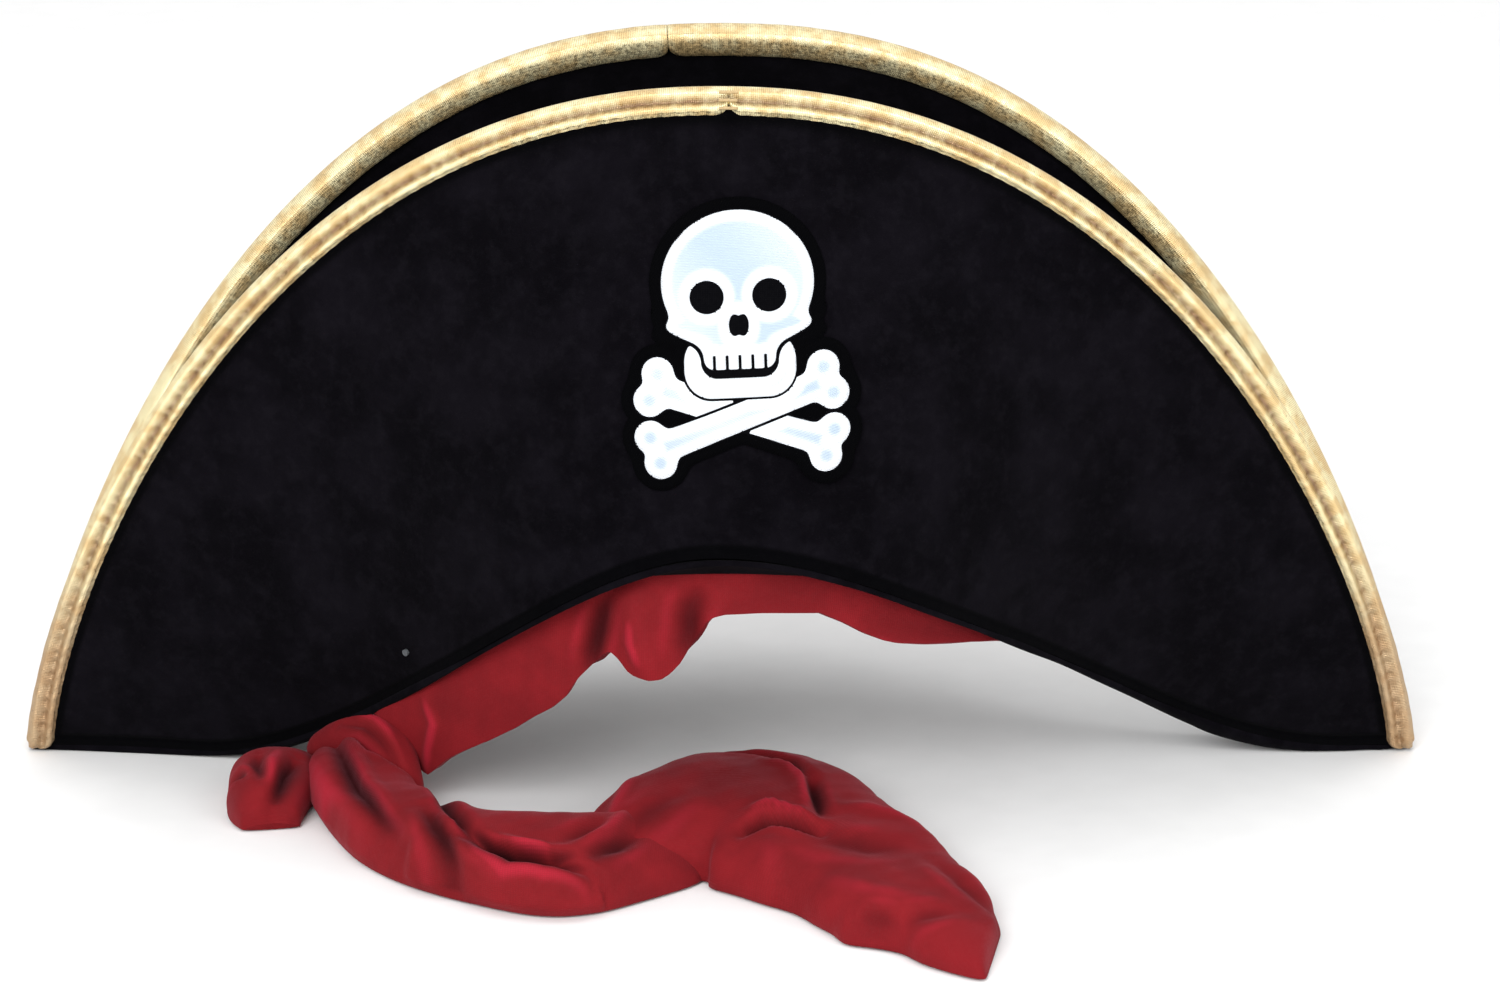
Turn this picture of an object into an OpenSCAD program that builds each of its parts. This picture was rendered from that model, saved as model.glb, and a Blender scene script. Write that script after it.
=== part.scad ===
// Pirate hat: two stiff felt flaps round a soft oval crown, gold binding along
// both flap edges, an embroidered patch, and a red cloth band that is knotted
// at the wearer's right and ends in one long tail lying in front of the hat.
// +X runs from tip to tip, the front flap faces -Y, the hat rests on z = 0.

/* [Flaps] */
// Length of the hat from tip to tip
hat_len = 422; // [402:1:442]
// Height of the front flap at its middle
front_h = 216.5; // [205:0.5:228]
// Height of the back flap at its middle
back_h = 214; // [203:0.5:226]
// Distance between the top edges of the two flaps at the middle
flap_gap = 94; // [80:1:104]
// How far a flap swells outwards at mid height
flap_swell = 11; // [6:0.5:14]
// Thickness of the outer felt of a flap
felt_t = 2.4; // [1.6:0.1:2.6]
// Thickness of the buckram stiffener in a flap
buckram_t = 0.9; // [0.6:0.1:1]
// Thickness of the felt facing on the inside of a flap
facing_t = 1.3; // [0.8:0.1:1.4]

/* [Brim fold] */
// Height of the brim's fold above the brow
brow_z = 88; // [80:1:92]
// Distance of the brim's fold from the middle of the hat at the brow
brow_y = 89; // [88:1:95]
// Reach of the raised stretch of the fold to the left
fold_left = 160; // [150:1:180]
// Reach of the raised stretch of the fold to the right
fold_right = 192; // [170:1:200]
// Thickness of the under-brim felt
brim_t = 2; // [1.5:0.1:2.4]

/* [Crown] */
// Half length of the head opening
open_a = 102; // [98:1:104]
// Half width of the head opening
open_b = 82; // [78:1:83]
// Height of the head opening's edge at the brow
open_z = 83; // [78:1:85]
// How much lower the head opening is at the ears
open_dip = 24; // [15:1:26]
// Height of the flat crown tip
crown_z = 178; // [165:1:185]
// Thickness of the crown felt
crown_t = 1.8; // [1.2:0.1:2.2]
// Height of the sweatband
sweat_h = 30; // [24:1:34]
// Thickness of the sweatband
sweat_t = 1.2; // [0.8:0.1:1.6]

/* [Gold binding] */
// Width of the binding on a flap's outer face at the tips
braid_w = 10.5; // [9:0.5:13]
// Width of the binding on a flap's outer face at the middle
braid_mid_w = 6.5; // [5.5:0.5:10]
// Width of the binding on a flap's inner face
braid_in_w = 6; // [4:0.5:8]
// Thickness of the binding
braid_t = 1.6; // [1.2:0.1:2]
// Place of the join in the front binding along the hat
front_join_x = 3; // [-6:1:6]
// Place of the join in the back binding along the hat
back_join_x = -16; // [-24:1:6]

/* [Patch] */
// Middle of the patch along the hat
patch_x = 6; // [0:1:12]
// Height of the patch's middle
patch_z = 151; // [148:1:152]
// Tilt of the skull on the patch
patch_tilt = 2; // [-4:0.5:4]
// Width of the skull's cranium
skull_w = 43; // [40:1:45]
// Slope of the crossed bones
bone_slope = 18; // [15:1:22]
// Length of a bone between its end knobs
bone_len = 50; // [48:1:52]
// Width of a bone's shaft
bone_w = 7; // [6:0.5:8]
// Width of the dark border round the motif
border_w = 3.4; // [3:0.1:3.6]
// Thickness of each embroidered layer
thread_t = 0.9; // [0.7:0.1:1.1]

/* [Red cloth] */
// Thickness of the band's folded cloth
band_t = 1.6; // [1.2:0.1:1.8]
// Lowest reach of the band at the middle of the front
band_low = 69; // [66:1:72]
// Height of the knot
knot_h = 18; // [16:1:18]
// Radius of the upright root of the tail in the knot
root_r = 9; // [8:0.5:9]
// Radius of the level root of the tail's last stretch
fold_r = 5.6; // [5:0.1:6]
// Clearance round both roots of the tail
root_gap = 0.4; // [0.3:0.1:0.6]

/* [Threads] */
// Radius of a sewing stitch
stitch_r = 0.45; // [0.3:0.05:0.6]

/* [Hidden] */

FRONT = -1;                       // the side of the hat that faces -Y
BACK = 1;                         // the side that faces +Y
half_len = hat_len / 2;
half_gap = flap_gap / 2;
tip_y = 5.2;                      // half thickness of the pinched tips
flap_t = felt_t + buckram_t + facing_t;
arch_p = 2.2;                     // squareness of the flap's arch
arch_q = 0.71;                    // steepness of the arch at its ends
turn_x = 105;                     // where the fold turns in towards the tips
end_x = half_len - 0.4;           // last column of a flap
cols = 44;                        // columns of a flap from tip to tip
flap_rows = [0, 0.06, 0.2, 0.36, 0.52, 0.68, 0.84, 1];  // rows from fold to edge
skive = 3;                        // how far the felt is pared back inside the fold
brim_flat = 0.12;                 // level share of the under-brim next to the fold
crown_rows = 3;                   // rows of the crown side above the sweatband
rim_gap = 0.2;                    // clearance between the pieces sewn at the head opening
braid_steps = 40;                 // steps of half a binding
braid_gap = 0.65;                  // clearance of the binding round the felt
crown_tip_a = 80;                 // half length of the crown tip
crown_tip_b = 54;                 // half width of the crown tip
felt_black = [0.06, 0.055, 0.07];
lining_black = [0.10, 0.10, 0.11];
gold = [0.78, 0.62, 0.32];
scarlet = [0.64, 0.13, 0.16];
thread_white = [0.90, 0.92, 0.94];

// ---- small helpers -------------------------------------------------------

function clamp(v, lo, hi) = max(lo, min(hi, v));
function unit(v) = v / norm(v);
function mix(a, b, t) = a + (b - a) * t;
function flat(lists) = [for (l = lists, p = l) p];

// Triangles between two rows of n points that start at a and b.
function strip(a, b, n, wrap) =
    [for (j = [0 : n - (wrap ? 1 : 2)], t = [0, 1])
        let (k = (j + 1) % n) t == 0 ? [a + j, a + k, b + k] : [a + j, b + k, b + j]];

// The same triangles seen from behind.
function turned(faces) = [for (f = faces) [f[0], f[2], f[1]]];

// Faces of a sheet: rows x n points of its first face, then of its second.
function sheet_faces(rows, n, wrap) =
    let (m = rows * n, last = n - 1) concat(
        flat([for (i = [0 : rows - 2]) strip(i * n, (i + 1) * n, n, wrap)]),
        turned(flat([for (i = [0 : rows - 2]) strip(m + i * n, m + (i + 1) * n, n, wrap)])),
        strip(m, 0, n, wrap),
        strip(m - n, 2 * m - n, n, wrap),
        wrap ? [] : flat([for (i = [0 : rows - 2])
            let (a = i * n, b = (i + 1) * n, c = a + last, d = b + last)
            [[a, b, m + b], [a, m + b, m + a], [c, m + c, m + d], [c, m + d, d]]]));

// A closed sheet between two grids of points.
module sheet(face_a, face_b, wrap = false) {
    rows = len(face_a);
    polyhedron(points = concat(flat(face_a), flat(face_b)),
               faces = sheet_faces(rows, len(face_a[0]), wrap), convexity = 8);
}

// A closed bar through rings of points; the first and last ring are its ends.
module loft(rings) {
    n = len(rings[0]);
    last = (len(rings) - 1) * n;
    sides = flat([for (i = [0 : len(rings) - 2]) strip(i * n, (i + 1) * n, n, true)]);
    ends = flat([for (k = [1 : n - 2]) [[0, k + 1, k], [last, last + k, last + k + 1]]]);
    polyhedron(points = flat(rings), faces = concat(sides, ends), convexity = 6);
}

// ---- the flaps' shape ----------------------------------------------------

// 1 at the middle of the hat, 0 at the tips.
function inward(x) = max(0, 1 - pow(x / half_len, 2));

// Height of the brim's fold, the flap's lower edge.
function fold_z(x) =
    let (reach = x < 0 ? fold_left : fold_right)
    brow_z * (0.5 + 0.5 * cos(180 * min(1, abs(x) / reach)));

// Distance of the fold from the hat's middle plane.
function fold_y(x) =
    tip_y + (brow_y - tip_y) * inward(x) / (1 + pow(x / turn_x, 4));

// Height and distance of a flap's top edge.
function arch_h(side) = side == FRONT ? front_h : back_h;
function arch_power(side) = side == FRONT ? arch_p : arch_p + 0.1;
function edge_z(x, side) =
    arch_h(side) * pow(max(0, 1 - pow(abs(x) / half_len, arch_power(side))), arch_q);
function edge_y(x) = tip_y + (half_gap - tip_y) * (1 - pow(abs(x) / half_len, 3));

// Distance of a flap's outer face from the middle plane at x, z.
function flap_y(x, z, side) =
    let (low = fold_z(x) + brim_t, high = edge_z(x, side),
         v = clamp((z - low) / max(1, high - low), 0, 1))
    mix(fold_y(x), edge_y(x), v) + flap_swell * 4 * v * (1 - v) * pow(inward(x), 0.75);

// Outward direction of that face; it never leans back towards the middle.
function flap_out(x, z, side) =
    let (e = 0.2, a = clamp(x, 0.2 - half_len, half_len - 0.2),
         dx = (flap_y(a + e / 2, z, side) - flap_y(a - e / 2, z, side)) / e,
         dz = (flap_y(a, z + e, side) - flap_y(a, z - e, side)) / (2 * e))
    unit([x < 0 ? min(0, -dx) : max(0, -dx), side, -dz]);

// A point off the outer face by a distance, positive outwards.
function flap_point(x, z, side, off) =
    [x, side * flap_y(x, z, side), z] + off * flap_out(x, z, side);

// Columns of a flap from the left tip to the right one, closer at the tips.
function column_x(i) = -end_x * cos(180 * i / cols);

// Points of a flap at a distance off its outer face. The inner layers leave
// out the lowest row and a few columns at each tip.
function flap_grid(side, off, trim_rows, trim_cols) =
    [for (r = [trim_rows : len(flap_rows) - 1])
        [for (i = [trim_cols : cols - trim_cols])
            let (x = column_x(i), low = fold_z(x) + brim_t,
                 pared = r == 0 && off < 0 ? skive : 0,
                 z = mix(low, edge_z(x, side), flap_rows[r]),
                 p = flap_point(x, z, side, off))
            [p[0], p[1], p[2] + pared]]];

// One layer of a flap between two depths under its outer face.
module flap_layer(side, depth, thickness, trim_rows = 0, trim_cols = 0) {
    outer = flap_grid(side, -depth, trim_rows, trim_cols);
    inner = flap_grid(side, -depth - thickness, trim_rows, trim_cols);
    if (side == FRONT) sheet(inner, outer);
    else sheet(outer, inner);
}

inner_rows = 1;                   // rows that the inner layers leave out at the fold
inner_cols = 4;                   // columns that they leave out at each tip

module front_flap() { color(felt_black) flap_layer(FRONT, 0, felt_t); }
module back_flap() { color(felt_black) flap_layer(BACK, 0, felt_t); }
module stiffener(side) {
    color("dimgray") flap_layer(side, felt_t, buckram_t, inner_rows, inner_cols);
}
module front_stiffener() { stiffener(FRONT); }
module back_stiffener() { stiffener(BACK); }
module facing(side) {
    color(felt_black) flap_layer(side, felt_t + buckram_t, facing_t, inner_rows, inner_cols);
}
module front_facing() { facing(FRONT); }
module back_facing() { facing(BACK); }

// ---- crown and under-brim ------------------------------------------------

// The fold's closed outline: along the front to the right, back to the left.
function loop_points() = concat(
    [for (i = [0 : cols]) let (x = column_x(i)) [x, -fold_y(x)]],
    [for (i = [cols : -1 : 0]) let (x = column_x(i)) [x, fold_y(x)]]);

// Angles of those points as seen from the middle of the head opening.
function loop_angles() = [for (p = loop_points()) atan2(p[1] / open_b, p[0] / open_a)];

// Underside height of the head opening's edge: low at the ears.
function opening_z(angle) = open_z - open_dip * pow(cos(angle), 2);

function brim_row(t, lift) =
    let (outer = loop_points(), angles = loop_angles())
    [for (i = [0 : len(outer) - 1])
        let (angle = angles[i], p = outer[i],
             hole = [(open_a + rim_gap) * cos(angle), (open_b + rim_gap) * sin(angle)],
             rise = pow(max(0, t - brim_flat) / (1 - brim_flat), 1.5),
             z = mix(fold_z(p[0]), opening_z(angle), rise))
        [mix(p[0], hole[0], t), mix(p[1], hole[1], t), z + lift]];

module under_brim() {
    steps = [0, brim_flat, 0.3, 0.55, 0.78, 1];
    color(felt_black)
        sheet([for (t = steps) brim_row(t, 0)], [for (t = steps) brim_row(t, brim_t)], true);
}

// Half axes of the crown at height share t, from its foot to its tip.
function crown_axes(t, inset) =
    [mix(open_a, crown_tip_a, pow(t, 2.2)) - inset, mix(open_b, crown_tip_b, pow(t, 1.8)) - inset];

function crown_ring(t, inset) =
    [for (angle = loop_angles())
        let (ab = crown_axes(t, inset))
        [ab[0] * cos(angle), ab[1] * sin(angle), mix(opening_z(angle), crown_z, t)]];

sweat_share = sweat_h / (crown_z - open_z);  // of the crown's height

// The crown side stands in the hole of the under-brim.
module crown_side() {
    steps = concat([0, sweat_share / 2],
                   [for (i = [0 : crown_rows]) mix(sweat_share, 1, i / crown_rows)]);
    color(felt_black)
        sheet([for (t = steps) crown_ring(t, crown_t)], [for (t = steps) crown_ring(t, 0)], true);
}

module oval(a, b, n = 72) {
    polygon([for (i = [0 : n - 1]) [a * cos(360 * i / n), b * sin(360 * i / n)]]);
}

module crown_tip() {
    color(felt_black) translate([0, 0, crown_z])
        linear_extrude(crown_t) oval(crown_tip_a + 0.6, crown_tip_b + 0.6);
}

module sweatband() {
    inset = crown_t + rim_gap;
    foot = (brim_t + 1) / (crown_z - open_z);
    steps = [foot, sweat_share / 2, sweat_share];
    color("black")
        sheet([for (t = steps) crown_ring(t, inset + sweat_t)],
              [for (t = steps) crown_ring(t, inset)], true);
}

module blank_label() {
    label_w = 34;
    label_h = 20;
    label_t = 0.5;
    label_lean = 17;
    color("whitesmoke")
        translate([-label_w / 2, open_b - 10.2, open_z + sweat_h + 8])
            rotate([label_lean, 0, 0]) cube([label_w, label_t, label_h]);
}

// ---- gold binding --------------------------------------------------------

// Point of the arch at an angle: 0 at the right tip, 180 at the left one.
function arch_xz(angle, side) =
    let (p = arch_power(side), c = cos(angle))
    [half_len * sign(c) * pow(abs(c), 2 / p), arch_h(side) * pow(sin(angle), 2 * arch_q)];
function arch_angle(x, side) =
    let (c = pow(abs(x) / half_len, arch_power(side) / 2)) acos(x < 0 ? -c : c);

// Direction from the arch into the flap, square to the edge.
function arch_in(angle, side) =
    let (a = arch_xz(angle - 0.5, side), b = arch_xz(angle + 0.5, side), d = unit(b - a))
    [-d[1], d[0]];

// A point of the binding: across the flap from its edge, and off its face.
function braid_point(angle, side, across, off) =
    let (edge = arch_xz(angle, side), way = arch_in(angle, side),
         q = edge + max(0, across) * way,
         x = clamp(q[0], -end_x, end_x), z = max(q[1], 0.8),
         p = flap_point(x, z, side, off), over = min(0, across))
    [p[0] + over * way[0], p[1], max(0.4, p[2] + over * way[1])];

// The U-shaped section of the binding, shallow inside near the tips.
function braid_ring(angle, side) =
    let (room = clamp((arch_xz(angle, side)[1] - 8) / 14, 0.02, 1),
         w = mix(braid_w, braid_mid_w, pow(sin(angle), 3)),
         t = braid_t, g = braid_gap, ti = mix(g, braid_t, room), wi = braid_in_w * room,
         top = -flap_t * room - felt_t * (1 - room))
    [for (q = [[w, g], [w, t * 0.8], [w / 2, t], [0.4, t],
               [-t, t * 0.2], [-t, top - ti * 0.2],
               [0.4, top - ti], [wi + 0.4, top - ti], [wi + 0.4, top - g],
               [-g, top - g], [-g, g]])
        braid_point(angle, side, q[0], q[1])];

module braid(side, from, to) {
    rings = [for (i = [0 : braid_steps]) braid_ring(mix(from, to, i / braid_steps), side)];
    color(gold) if (side == BACK) loft(rings);
    else loft([for (r = rings) [for (i = [len(r) - 1 : -1 : 0]) r[i]]]);
}

braid_end = 1.2;                  // angle at which a binding stops at a tip
join_gap = 0.12;                  // half the angle left open at a join
front_join = arch_angle(front_join_x, FRONT);
back_join = arch_angle(back_join_x, BACK);

module braid_front_right() { braid(FRONT, braid_end, front_join - join_gap); }
module braid_front_left() { braid(FRONT, front_join + join_gap, 180 - braid_end); }
module braid_back_right() { braid(BACK, braid_end, back_join - join_gap); }
module braid_back_left() { braid(BACK, back_join + join_gap, 180 - braid_end); }

// ---- stitches ------------------------------------------------------------

// A bar of thread between two points.
module thread(a, b, r = stitch_r) {
    d = b - a;
    translate(a) rotate([0, acos(d[2] / norm(d)), atan2(d[1], d[0])])
        cylinder(r = r, h = norm(d), $fn = 16);
}

braid_top = braid_t + stitch_r + 0.05;  // height of a stitch lying on the binding

module join_stitches(side, join_x) {
    angle = arch_angle(join_x, side);
    for (across = [1.2, 3.2, 5.2])
        thread(braid_point(angle + 0.5, side, across, braid_top),
               braid_point(angle - 0.5, side, across, braid_top));
}

module braid_join_stitches() {
    color("tan") {
        join_stitches(FRONT, front_join_x);
        join_stitches(BACK, back_join_x);
    }
}

// Three bars at each tip that hold the two flaps together.
module tip_stitches() {
    color("black")
        for (end = [-1, 1], up = [5, 9, 13])
            translate([end * (half_len - 16 - up / 3), 0, up])
                rotate([90, 0, 0]) cylinder(r = stitch_r, h = 1.2, center = true, $fn = 16);
}

// The thread that tacks the band to the front flap, seen as one grey dot.
module front_tack() {
    tack_x = -92;
    tack_z = 48;
    color("dimgray") thread(flap_point(tack_x, tack_z, FRONT, 0.15),
                            flap_point(tack_x, tack_z, FRONT, 0.9), 1);
}

// ---- patch ---------------------------------------------------------------

// A layer of constant thickness that follows the front flap over the patch.
module patch_layer(depth, thickness) {
    half_w = 42;
    half_h = 48;
    n = 9;
    function grid(off) = [for (r = [0 : n]) [for (i = [0 : n])
        flap_point(patch_x + half_w * (2 * i / n - 1), patch_z + half_h * (2 * r / n - 1),
                   FRONT, off)]];
    reach = 140;
    intersection() {
        sheet(grid(depth), grid(depth + thickness));
        translate([patch_x, 0, patch_z]) rotate([90, 0, 0])
            linear_extrude(reach) rotate(patch_tilt) children();
    }
}

// One bone: a shaft with two round knobs at each end.
module bone_shape(slope) {
    knob_r = bone_w * 0.62;
    rotate(slope) {
        square([bone_len, bone_w], center = true);
        for (end = [-1, 1], up = [-1, 1])
            translate([end * bone_len / 2, up * knob_r * 0.92]) circle(r = knob_r, $fn = 20);
    }
}

bone_y = -20;                     // height of the bones' crossing on the patch
skull_y = 16;                     // height of the cranium's middle

module bones_shape() {
    translate([0, bone_y]) { bone_shape(bone_slope); bone_shape(-bone_slope); }
}

module cranium_shape() {
    translate([0, skull_y]) oval(skull_w / 2, skull_w * 0.44, 36);
    translate([0, skull_y - skull_w * 0.4]) square([skull_w * 0.55, skull_w * 0.36], center = true);
}

module face_holes() {
    for (end = [-1, 1])
        translate([end * skull_w * 0.21, skull_y - 3]) circle(r = skull_w * 0.115, $fn = 20);
    translate([0, skull_y - 11]) circle(r = skull_w * 0.06, $fn = 3);
    for (i = [-1.5 : 1 : 1.5])
        translate([i * skull_w * 0.11, skull_y - skull_w * 0.52])
            square([0.8, skull_w * 0.13], center = true);
}

module skull_shape() { difference() { cranium_shape(); face_holes(); } }

// The lower jaw: a wide U under the teeth.
module jaw_shape() {
    jaw_y = skull_y - skull_w * 0.58;
    difference() {
        translate([0, jaw_y]) offset(r = 3, $fn = 20) square([skull_w * 0.42, skull_w * 0.16], center = true);
        translate([0, jaw_y + skull_w * 0.1]) square([skull_w * 0.3, skull_w * 0.2], center = true);
        cranium_shape();
    }
}

module motif_shape() { cranium_shape(); jaw_shape(); bones_shape(); }

module patch_ground() {
    color(lining_black) patch_layer(0, thread_t) offset(r = border_w, $fn = 20) motif_shape();
}

module patch_border() {
    color("black") patch_layer(thread_t, thread_t) difference() {
        offset(r = border_w, $fn = 20) motif_shape();
        offset(r = 0.4, $fn = 12) motif_shape();
    }
}

module patch_skull() { color(thread_white) patch_layer(thread_t, thread_t) skull_shape(); }

module patch_jaw() {
    color(thread_white) patch_layer(thread_t, thread_t)
        difference() { jaw_shape(); bones_shape(); }
}

module patch_rising_bone() {
    color(thread_white) patch_layer(thread_t, thread_t)
        difference() { translate([0, bone_y]) bone_shape(bone_slope); cranium_shape(); }
}

module patch_falling_bone() {
    color(thread_white) patch_layer(thread_t, thread_t) difference() {
        translate([0, bone_y]) bone_shape(-bone_slope);
        translate([0, bone_y]) bone_shape(bone_slope);
        cranium_shape();
    }
}

// ---- red cloth -----------------------------------------------------------

// Lower edge of the band: level at the back, dipping to the knot at the left.
function band_low_z(angle) =
    let (x = open_a * cos(angle), front = sin(angle) < 0 ? -sin(angle) : 0,
         right = band_low - 20 * pow(x / 80, 2), left = band_low - 55 * pow(abs(x) / 76, 1.6),
         behind = opening_z(angle) - 16)
    mix(behind, clamp(x > 0 ? right : left, 10, 75), min(1, front * 4));

// The band is sewn inside the rim of the head opening and hangs below it.
function band_ring(t, inset) =
    let (in = crown_t + rim_gap + inset)
    [for (angle = loop_angles())
        [(open_a - in) * cos(angle), (open_b - in) * sin(angle),
         mix(band_low_z(angle), opening_z(angle) + brim_t, t)]];

module band() {
    color(scarlet) sheet([for (t = [0, 0.5, 1]) band_ring(t, band_t)],
                         [for (t = [0, 0.5, 1]) band_ring(t, 0)], true);
}

module band_stitches() {
    count = 16;
    in = crown_t + rim_gap + band_t + stitch_r + 0.5;
    color("maroon") for (i = [0 : count - 1]) {
        angle = 360 * (i + 0.5) / count;
        translate([(open_a - in) * cos(angle), (open_b - in) * sin(angle), opening_z(angle) - 2])
            cylinder(r = stitch_r, h = 3, $fn = 16);
    }
}

lie_z = 0.1;                      // height at which the loose cloth lies
knot_at = [-104, -60];            // the upright root of the tail, in plan
fold_at = [-16, fold_r + 0.3];    // x and z of the level root of the last stretch

// The knot: a low wrapped bundle under the fold, open where the tail turns.
module knot() {
    color(scarlet) difference() {
        hull() {
            translate([-138, -53, 7.6]) sphere(r = 7.4, $fn = 24);
            translate([-120, -60, 8.4]) sphere(r = 8, $fn = 24);
            translate([-116, -46, knot_h - 8.6]) sphere(r = 8.4, $fn = 24);
            translate([-98, -46, knot_h - 9]) sphere(r = 8.6, $fn = 24);
            translate([-98, -31, 12]) sphere(r = 4, $fn = 24);
        }
        translate([knot_at[0], knot_at[1], -1])
            cylinder(r = root_r + root_gap, h = knot_h + 2, $fn = 48);
        translate([knot_at[0] - 23, knot_at[1] - 22, -1]) cube([37, 26, knot_h + 2]);
    }
}

// The crumpled short end beside the knot.
module short_end() {
    color(scarlet) hull() {
        translate([-143, -64, 4.6]) sphere(r = 4.4, $fn = 20);
        translate([-131, -70, 4.2]) sphere(r = 4, $fn = 20);
        translate([-129, -68, 11]) sphere(r = 3, $fn = 20);
        translate([-140, -63, 11]) sphere(r = 3, $fn = 20);
    }
}

// Section of rumpled cloth lying on the floor: flat below, rounded above.
function cloth_ring(s) =
    let (lateral = [cos(s[2]), sin(s[2]), 0])
    [for (q = [[-1, 0], [-1, 0.3], [-0.8, 0.72], [-0.4, 0.95], [0, 1],
               [0.4, 0.95], [0.8, 0.72], [1, 0.3], [1, 0]])
        [s[0], s[1], lie_z] + q[0] * s[3] * lateral + [0, 0, q[1] * s[4]]];

// Stations of the tail: x, y, angle of its width, half width, height.
first_stations = [[-104, -60, 0, 8.8, 16], [-101, -76, 10, 13, 16], [-95, -88, 35, 17, 17],
                  [-84, -99, 58, 18, 17], [-68, -108, 76, 19, 18], [-50, -113, 88, 22, 18],
                  [-34, -108, 92, 24, 15], [-16, -92, 90, 26, 8]];
last_stations = [[-16, -84, 90, 27, 11], [-3, -73, 86, 38, 16], [14, -78, 66, 42, 17],
                 [28, -102, 44, 30, 15], [45, -132, 40, 22, 12], [57, -148, 48, 18, 9],
                 [68, -163, 66, 16, 7], [74, -168, 80, 15, 6]];
last_y = [-110, -60];             // reach of the level root along Y

module tail_first_stretch() {
    color(scarlet) difference() {
        union() {
            loft([for (s = first_stations) cloth_ring(s)]);
            translate([knot_at[0], knot_at[1], lie_z]) cylinder(r = root_r, h = 16, $fn = 48);
        }
        translate([fold_at[0], 0, fold_at[1]]) rotate([90, 0, 0])
            cylinder(r = fold_r + root_gap, h = 160, $fn = 48);
        translate([fold_at[0] - 1, -160, -1]) cube([20, 160, 30]);
    }
}

module tail_last_stretch() {
    color(scarlet) {
        intersection() {
            loft([for (s = last_stations) cloth_ring(s)]);
            translate([fold_at[0], -220, -1]) cube([130, 220, 40]);
        }
        translate([fold_at[0], last_y[1], fold_at[1]]) rotate([90, 0, 0])
            cylinder(r = fold_r, h = last_y[1] - last_y[0], $fn = 48);
    }
}

// ---- assembly ------------------------------------------------------------

front_flap();
front_stiffener();
front_facing();
back_flap();
back_stiffener();
back_facing();
under_brim();
crown_side();
crown_tip();
sweatband();
blank_label();
braid_front_left();
braid_front_right();
braid_back_left();
braid_back_right();
braid_join_stitches();
tip_stitches();
front_tack();
patch_ground();
patch_border();
patch_skull();
patch_jaw();
patch_rising_bone();
patch_falling_bone();
band();
band_stitches();
knot();
short_end();
tail_first_stretch();
tail_last_stretch();
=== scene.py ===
"""Looks of the pirate hat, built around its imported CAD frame.

The frame gives the boxes of every node, and the shaping rules of the flaps are
the same as the model's own. All lengths are in metres unless a name ends in _mm.
"""
import logging
import math
from dataclasses import dataclass, field
from enum import Enum
from typing import Callable, Sequence

import bpy
import numpy as np
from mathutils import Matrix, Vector


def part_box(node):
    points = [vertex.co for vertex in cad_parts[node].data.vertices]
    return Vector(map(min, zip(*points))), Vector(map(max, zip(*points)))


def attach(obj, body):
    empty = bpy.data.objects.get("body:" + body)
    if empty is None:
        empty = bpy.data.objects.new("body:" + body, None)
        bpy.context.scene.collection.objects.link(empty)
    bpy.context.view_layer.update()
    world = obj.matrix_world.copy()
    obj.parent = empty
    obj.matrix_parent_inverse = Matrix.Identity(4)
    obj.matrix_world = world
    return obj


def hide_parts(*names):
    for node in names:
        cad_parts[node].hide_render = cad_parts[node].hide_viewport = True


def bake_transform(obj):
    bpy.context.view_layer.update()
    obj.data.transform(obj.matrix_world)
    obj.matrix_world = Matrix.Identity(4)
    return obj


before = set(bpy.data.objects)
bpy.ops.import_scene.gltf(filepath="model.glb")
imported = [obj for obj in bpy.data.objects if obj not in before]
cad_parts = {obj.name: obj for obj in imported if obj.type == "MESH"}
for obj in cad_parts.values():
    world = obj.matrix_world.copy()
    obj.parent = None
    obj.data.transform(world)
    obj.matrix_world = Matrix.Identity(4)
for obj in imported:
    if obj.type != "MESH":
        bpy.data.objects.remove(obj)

MM = 0.001
HAT, TAIL_FIRST, TAIL_LAST = "hat", "tail_first", "tail_last"
log = logging.getLogger("pirate_hat")

Array = np.ndarray
Socket = bpy.types.NodeSocket
Piece = bpy.types.Object


class Side(Enum):
    """Which flap: the sign of Y that its outer face looks towards."""

    FRONT = -1
    BACK = 1

    @property
    def word(self) -> str:
        """Name of the side as it stands in node names."""
        return self.name.lower()


class Hand(Enum):
    """Which half of a flap: the sign of X."""

    LEFT = -1
    RIGHT = 1

    @property
    def word(self) -> str:
        """Name of the half as it stands in node names."""
        return self.name.lower()


# ---------------------------------------------------------------- workbench


def clear_selection() -> None:
    """Deselect everything, so that operators act on the new piece only."""
    if bpy.context.mode != "OBJECT":
        bpy.ops.object.mode_set(mode="OBJECT")
    bpy.ops.object.select_all(action="DESELECT")


def take(piece: Piece) -> Piece:
    """Select one piece alone and make it active.

    Args:
        piece: The object to work on.

    Returns:
        The same object.
    """
    clear_selection()
    piece.select_set(True)
    bpy.context.view_layer.objects.active = piece
    return piece


def finish_modifier(piece: Piece, kind: str, **settings: object) -> None:
    """Add a modifier with its settings and apply it at once.

    Args:
        piece: The mesh object.
        kind: The modifier's type, such as "SOLIDIFY".
        settings: Values for the modifier's properties.
    """
    take(piece)
    bpy.ops.object.modifier_add(type=kind)
    modifier = piece.modifiers[-1]
    for name, value in settings.items():
        setattr(modifier, name, value)
    bpy.ops.object.modifier_apply(modifier=modifier.name)


def points_of(piece: Piece) -> Array:
    """All vertex positions of a piece as rows of x, y, z.

    Args:
        piece: The mesh piece.

    Returns:
        One row per vertex.
    """
    flat = np.empty(len(piece.data.vertices) * 3)
    piece.data.vertices.foreach_get("co", flat)
    return flat.reshape(-1, 3)


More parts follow.
